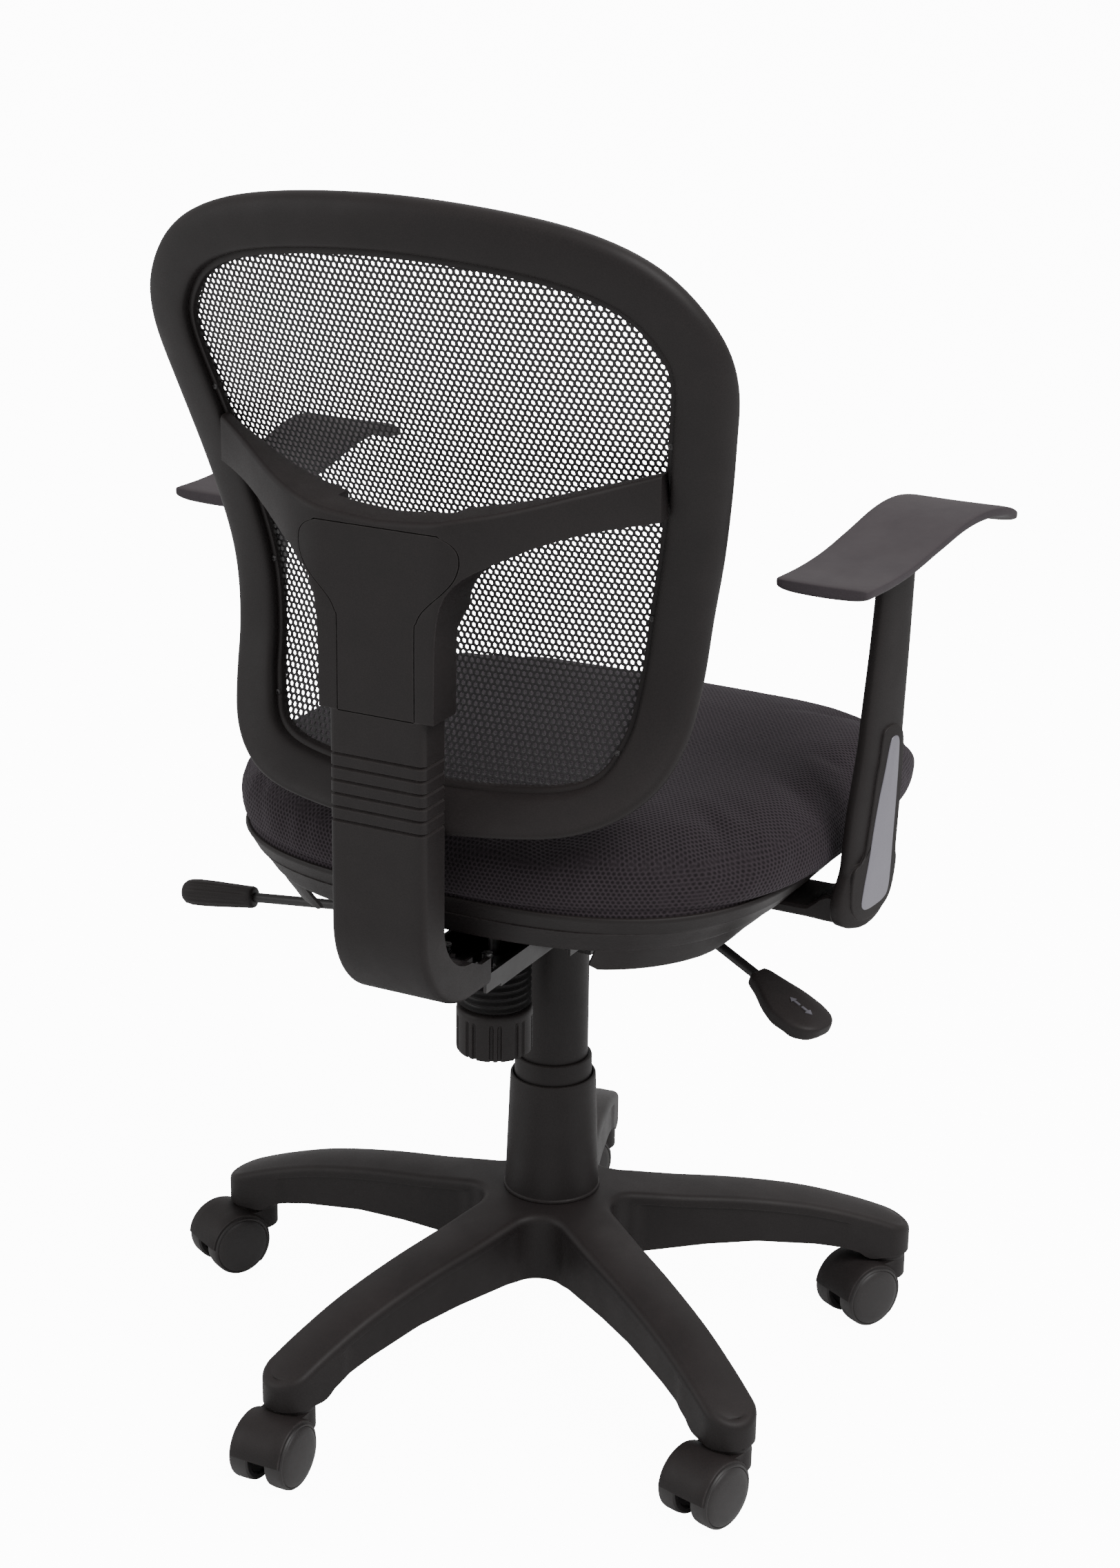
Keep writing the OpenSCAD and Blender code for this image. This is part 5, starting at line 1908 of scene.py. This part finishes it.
    def yoke(self) -> bpy.types.Object:
        """The wings, the flanges beside the spine and the ledge, with the head's seat cut out."""
        reach = 170.0
        upper = ((0, 736.5), (36, 739.5), (60, 744), (90, 750), (127, 760), (176, 773))
        under = ((44.6, 602), (44.7, 642), (45.2, 660), (46.6, 674), (49.5, 686), (54.5, 695.5), (62, 703),
                 (72, 709.5), (86, 716.5), (104, 725), (132, 733.5), (176, 740.5))
        xs = np.concatenate([np.linspace(0, 28.9, 5), [29.4], np.linspace(29.6, 44.4, 7),
                             [44.7, 45.2, 46.5, 48.5, 52, 57, 63], np.linspace(70, reach, 26)])
        xs = np.concatenate([-xs[::-1], xs[1:]])
        lows = smooth_path(under, 300)
        rings = []
        for x in xs:
            a = abs(x)
            z1 = float(profile(upper, a))
            if a < 29.5:
                z0 = 664.0
            elif a < 44.6:
                z0 = self.step_z
            else:
                z0 = float(lows[np.argmin(np.abs(lows[:, 0] - a) + (lows[:, 1] < 603) * 0.01), 1])
            rear = float(self.rear_y(a))
            deep = 46 - 34 * float(ease(30, 175, a))
            front = rear - deep
            if a < 45.5:
                front = max(front, 236.0 - 20 * float(ease(664, 700, z0)))
            r = min(4.2, deep * 0.25)
            ring = [(x, rear, z0), (x, rear, z0 + (z1 - z0) * 0.5), (x, rear, z1 - r)]
            ring += [(x, rear - r + r * math.cos(t), z1 - r + r * math.sin(t)) for t in np.linspace(0.3, math.pi / 2,
                                                                                                    4)]
            ring += [(x, front + 2, z1 + 0.6), (x, front, z1 - 1.5), (x, front, (z0 + z1) / 2), (x, front, z0 + 1.5),
                     (x, front + 1.5, z0)]
            rings.append(ring)
        piece = Shell().loft(rings).object("yoke")
        cut(piece, self.head(self.gap, 9.0, "tool"))
        round_edges(piece, 1.1, 3, 38)
        return piece

    def liner(self) -> bpy.types.Object:
        """The front moulding of the spine."""
        rear, bottom = self.rear(), low_corner("spine_cover")[2]
        radius = 67.0
        bend = np.array([rear - radius, bottom + radius])
        rings = []
        places = [(z, None) for z in np.linspace(705, 445, 20)]
        places += [(0, a) for a in np.linspace(0, math.radians(78), 16)[1:]]
        for z, a in places:
            ring = []
            for x, d in ((34, -24), (34, -28.4), (32.4, -30), (-32.4, -30), (-34, -28.4), (-34, -24)):
                if a is None:
                    ring.append((x, rear + d, z))
                else:
                    r = radius + d
                    ring.append((x, bend[0] + r * math.cos(a), bend[1] - r * math.sin(a)))
            rings.append(ring)
        return Shell().loft(rings).object("spine_liner_strip")

    def build(self) -> None:
        """Makes the spine, its liner and the yoke."""
        column = self.column()
        head = self.head(0.0, 8.0, "head")
        spine = join_pieces(column, head)
        spine.name = "spine_shell"
        dress(finish_mesh(spine, 36), Finish.PLASTIC, "back", "spine_cover")
        dress(finish_mesh(self.liner(), 36), Finish.PLASTIC, "back", "spine_liner")
        yoke = self.yoke()
        yoke.name = "yoke_shell"
        dress(finish_mesh(yoke, 36), Finish.PLASTIC, "back", "back_yoke")


# ---------------------------------------------------------------- carried-over nodes and the stage


class Hardware:
    """The CAD nodes whose shape is right: they keep it and get their finish."""

    FINISHES = {
        Finish.BLACK_STEEL: ("column_tube", "gas_cylinder", "tilt_housing", "seat_plate", "back_bar"),
        Finish.STEEL: ("hub_ring", "piston_rod", "thrust_bearing", "rod_clip", "pins_1", "pins_2", "pins_3", "pins_4",
                       "pins_5", "pivot_pin", "tension_bolt", "seat_bolts", "arm_bolts", "bar_bolts"),
        Finish.BUSH: ("tube_bush", "pivot_bushes", "lever_collar"),
        Finish.BOARD: ("seat_board",),
    }

    def build(self) -> None:
        """Gives every carried-over node its material."""
        for finish, nodes in self.FINISHES.items():
            for node in nodes:
                piece = frame["nodes"][node]
                piece.data.materials.clear()
                piece.data.materials.append(Paint.of(finish))
        LOG.info("hardware dressed")


@dataclass
class Stage:
    """The floor, the lights and the camera."""

    eye: tuple = (-987.4, 1920.4, 1248.1)
    aim: tuple = (-2.4, 0.0, 470.3)
    roll: float = math.radians(0.82)
    lens: float = 69.66
    glow: float = 12.0
    daylight: float = 0.62

    def floor(self) -> None:
        """A plain pale floor that reaches far past the chair on every side."""
        piece = Shell().grid(np.array([[(x, y, 0) for y in (-20000, 20000)] for x in (-20000,
                                                                                      20000)])).object("floor")
        made, t, shader = start_material("pale floor")
        noise = t.add("ShaderNodeTexNoise", {"Vector": t.place(), "Scale": 3.0,
                                             "Detail": 2.0})
        t.tree.links.new(t.blend(noise.outputs[0], (0.93, 0.93, 0.93, 1), (0.95, 0.95, 0.95, 1)),
                         shader.inputs["Base Color"])
        shader.inputs["Roughness"].default_value = 0.7
        seen = t.add("ShaderNodeLightPath").outputs["Is Camera Ray"]
        shader.inputs["Emission Strength"].default_value = self.glow
        t.tree.links.new(t.blend(seen, (0, 0, 0, 1), (1, 1, 1, 1)), shader.inputs["Emission Color"])
        piece.data.materials.append(made)

    def lamp(self, name: str, place: Sequence, target: Sequence, size: float, power: float) -> None:
        """A square soft lamp that looks at a target.

        Args:
            name: Its name.
            place: Where it stands, in metres.
            target: What it looks at, in metres.
            size: Its side, in metres.
            power: Its power in watts.
        """
        light = bpy.data.lights.new(name, "AREA")
        light.size = size
        light.energy = power
        lamp = bpy.data.objects.new(name, light)
        lamp.location = place
        lamp.rotation_euler = (Vector(target) - Vector(place)).to_track_quat("-Z", "Y").to_euler()
        bpy.context.scene.collection.objects.link(lamp)

    def camera(self) -> None:
        """The camera, behind the chair and on the sitter's right."""
        eye, aim = Vector(self.eye) * MM, Vector(self.aim) * MM
        forward = (aim - eye).normalized()
        right = forward.cross(Vector((0, 0, 1))).normalized()
        up = right.cross(forward)
        c, s = math.cos(self.roll), math.sin(self.roll)
        right, up = c * right + s * up, -s * right + c * up
        lens = bpy.data.cameras.new("camera")
        lens.lens = self.lens
        camera = bpy.data.objects.new("camera", lens)
        camera.matrix_world = Matrix.Translation(eye) @ Matrix((right, up, -forward)).transposed().to_4x4()
        bpy.context.scene.collection.objects.link(camera)
        bpy.context.scene.camera = camera

    def build(self) -> None:
        """Sets the stage."""
        self.floor()
        self.lamp("key", (-2.6, 0.9, 3.6), (0, 0, 0.5), 2.2, 120)
        self.lamp("fill", (2.8, 2.4, 1.8), (0, 0, 0.5), 2.4, 34)
        self.lamp("front", (0.5, -2.2, 2.6), (0, 0, 0.6), 2.0, 10)
        world = bpy.data.worlds.new("studio")
        world.use_nodes = True
        background = world.node_tree.nodes["Background"]
        background.inputs["Color"].default_value = (1, 1, 1, 1)
        world_tree = Tree(world.node_tree)
        seen = world_tree.add("ShaderNodeLightPath").outputs["Is Camera Ray"]
        world.node_tree.links.new(world_tree.math("MULTIPLY_ADD", seen, self.glow - self.daylight, self.daylight),
                                  background.inputs["Strength"])
        bpy.context.scene.world = world
        self.camera()


def main() -> None:
    """Builds the chair piece by piece, in the order a maker would put it together."""
    logging.basicConfig(level=logging.INFO, format="%(message)s", stream=sys.stdout)
    Stage().build()
    StarBase().build()
    for number in range(1, 6):
        Caster(number).build()
    ColumnCovers().build()
    TensionKnob().build()
    Levers().build()
    SeatPan().build()
    Cushion().build()
    for side in (-1, 1):
        Arm(side).build()
    Spine().build()
    Backrest().build()
    Hardware().build()


if __name__ == "__main__":
    main()
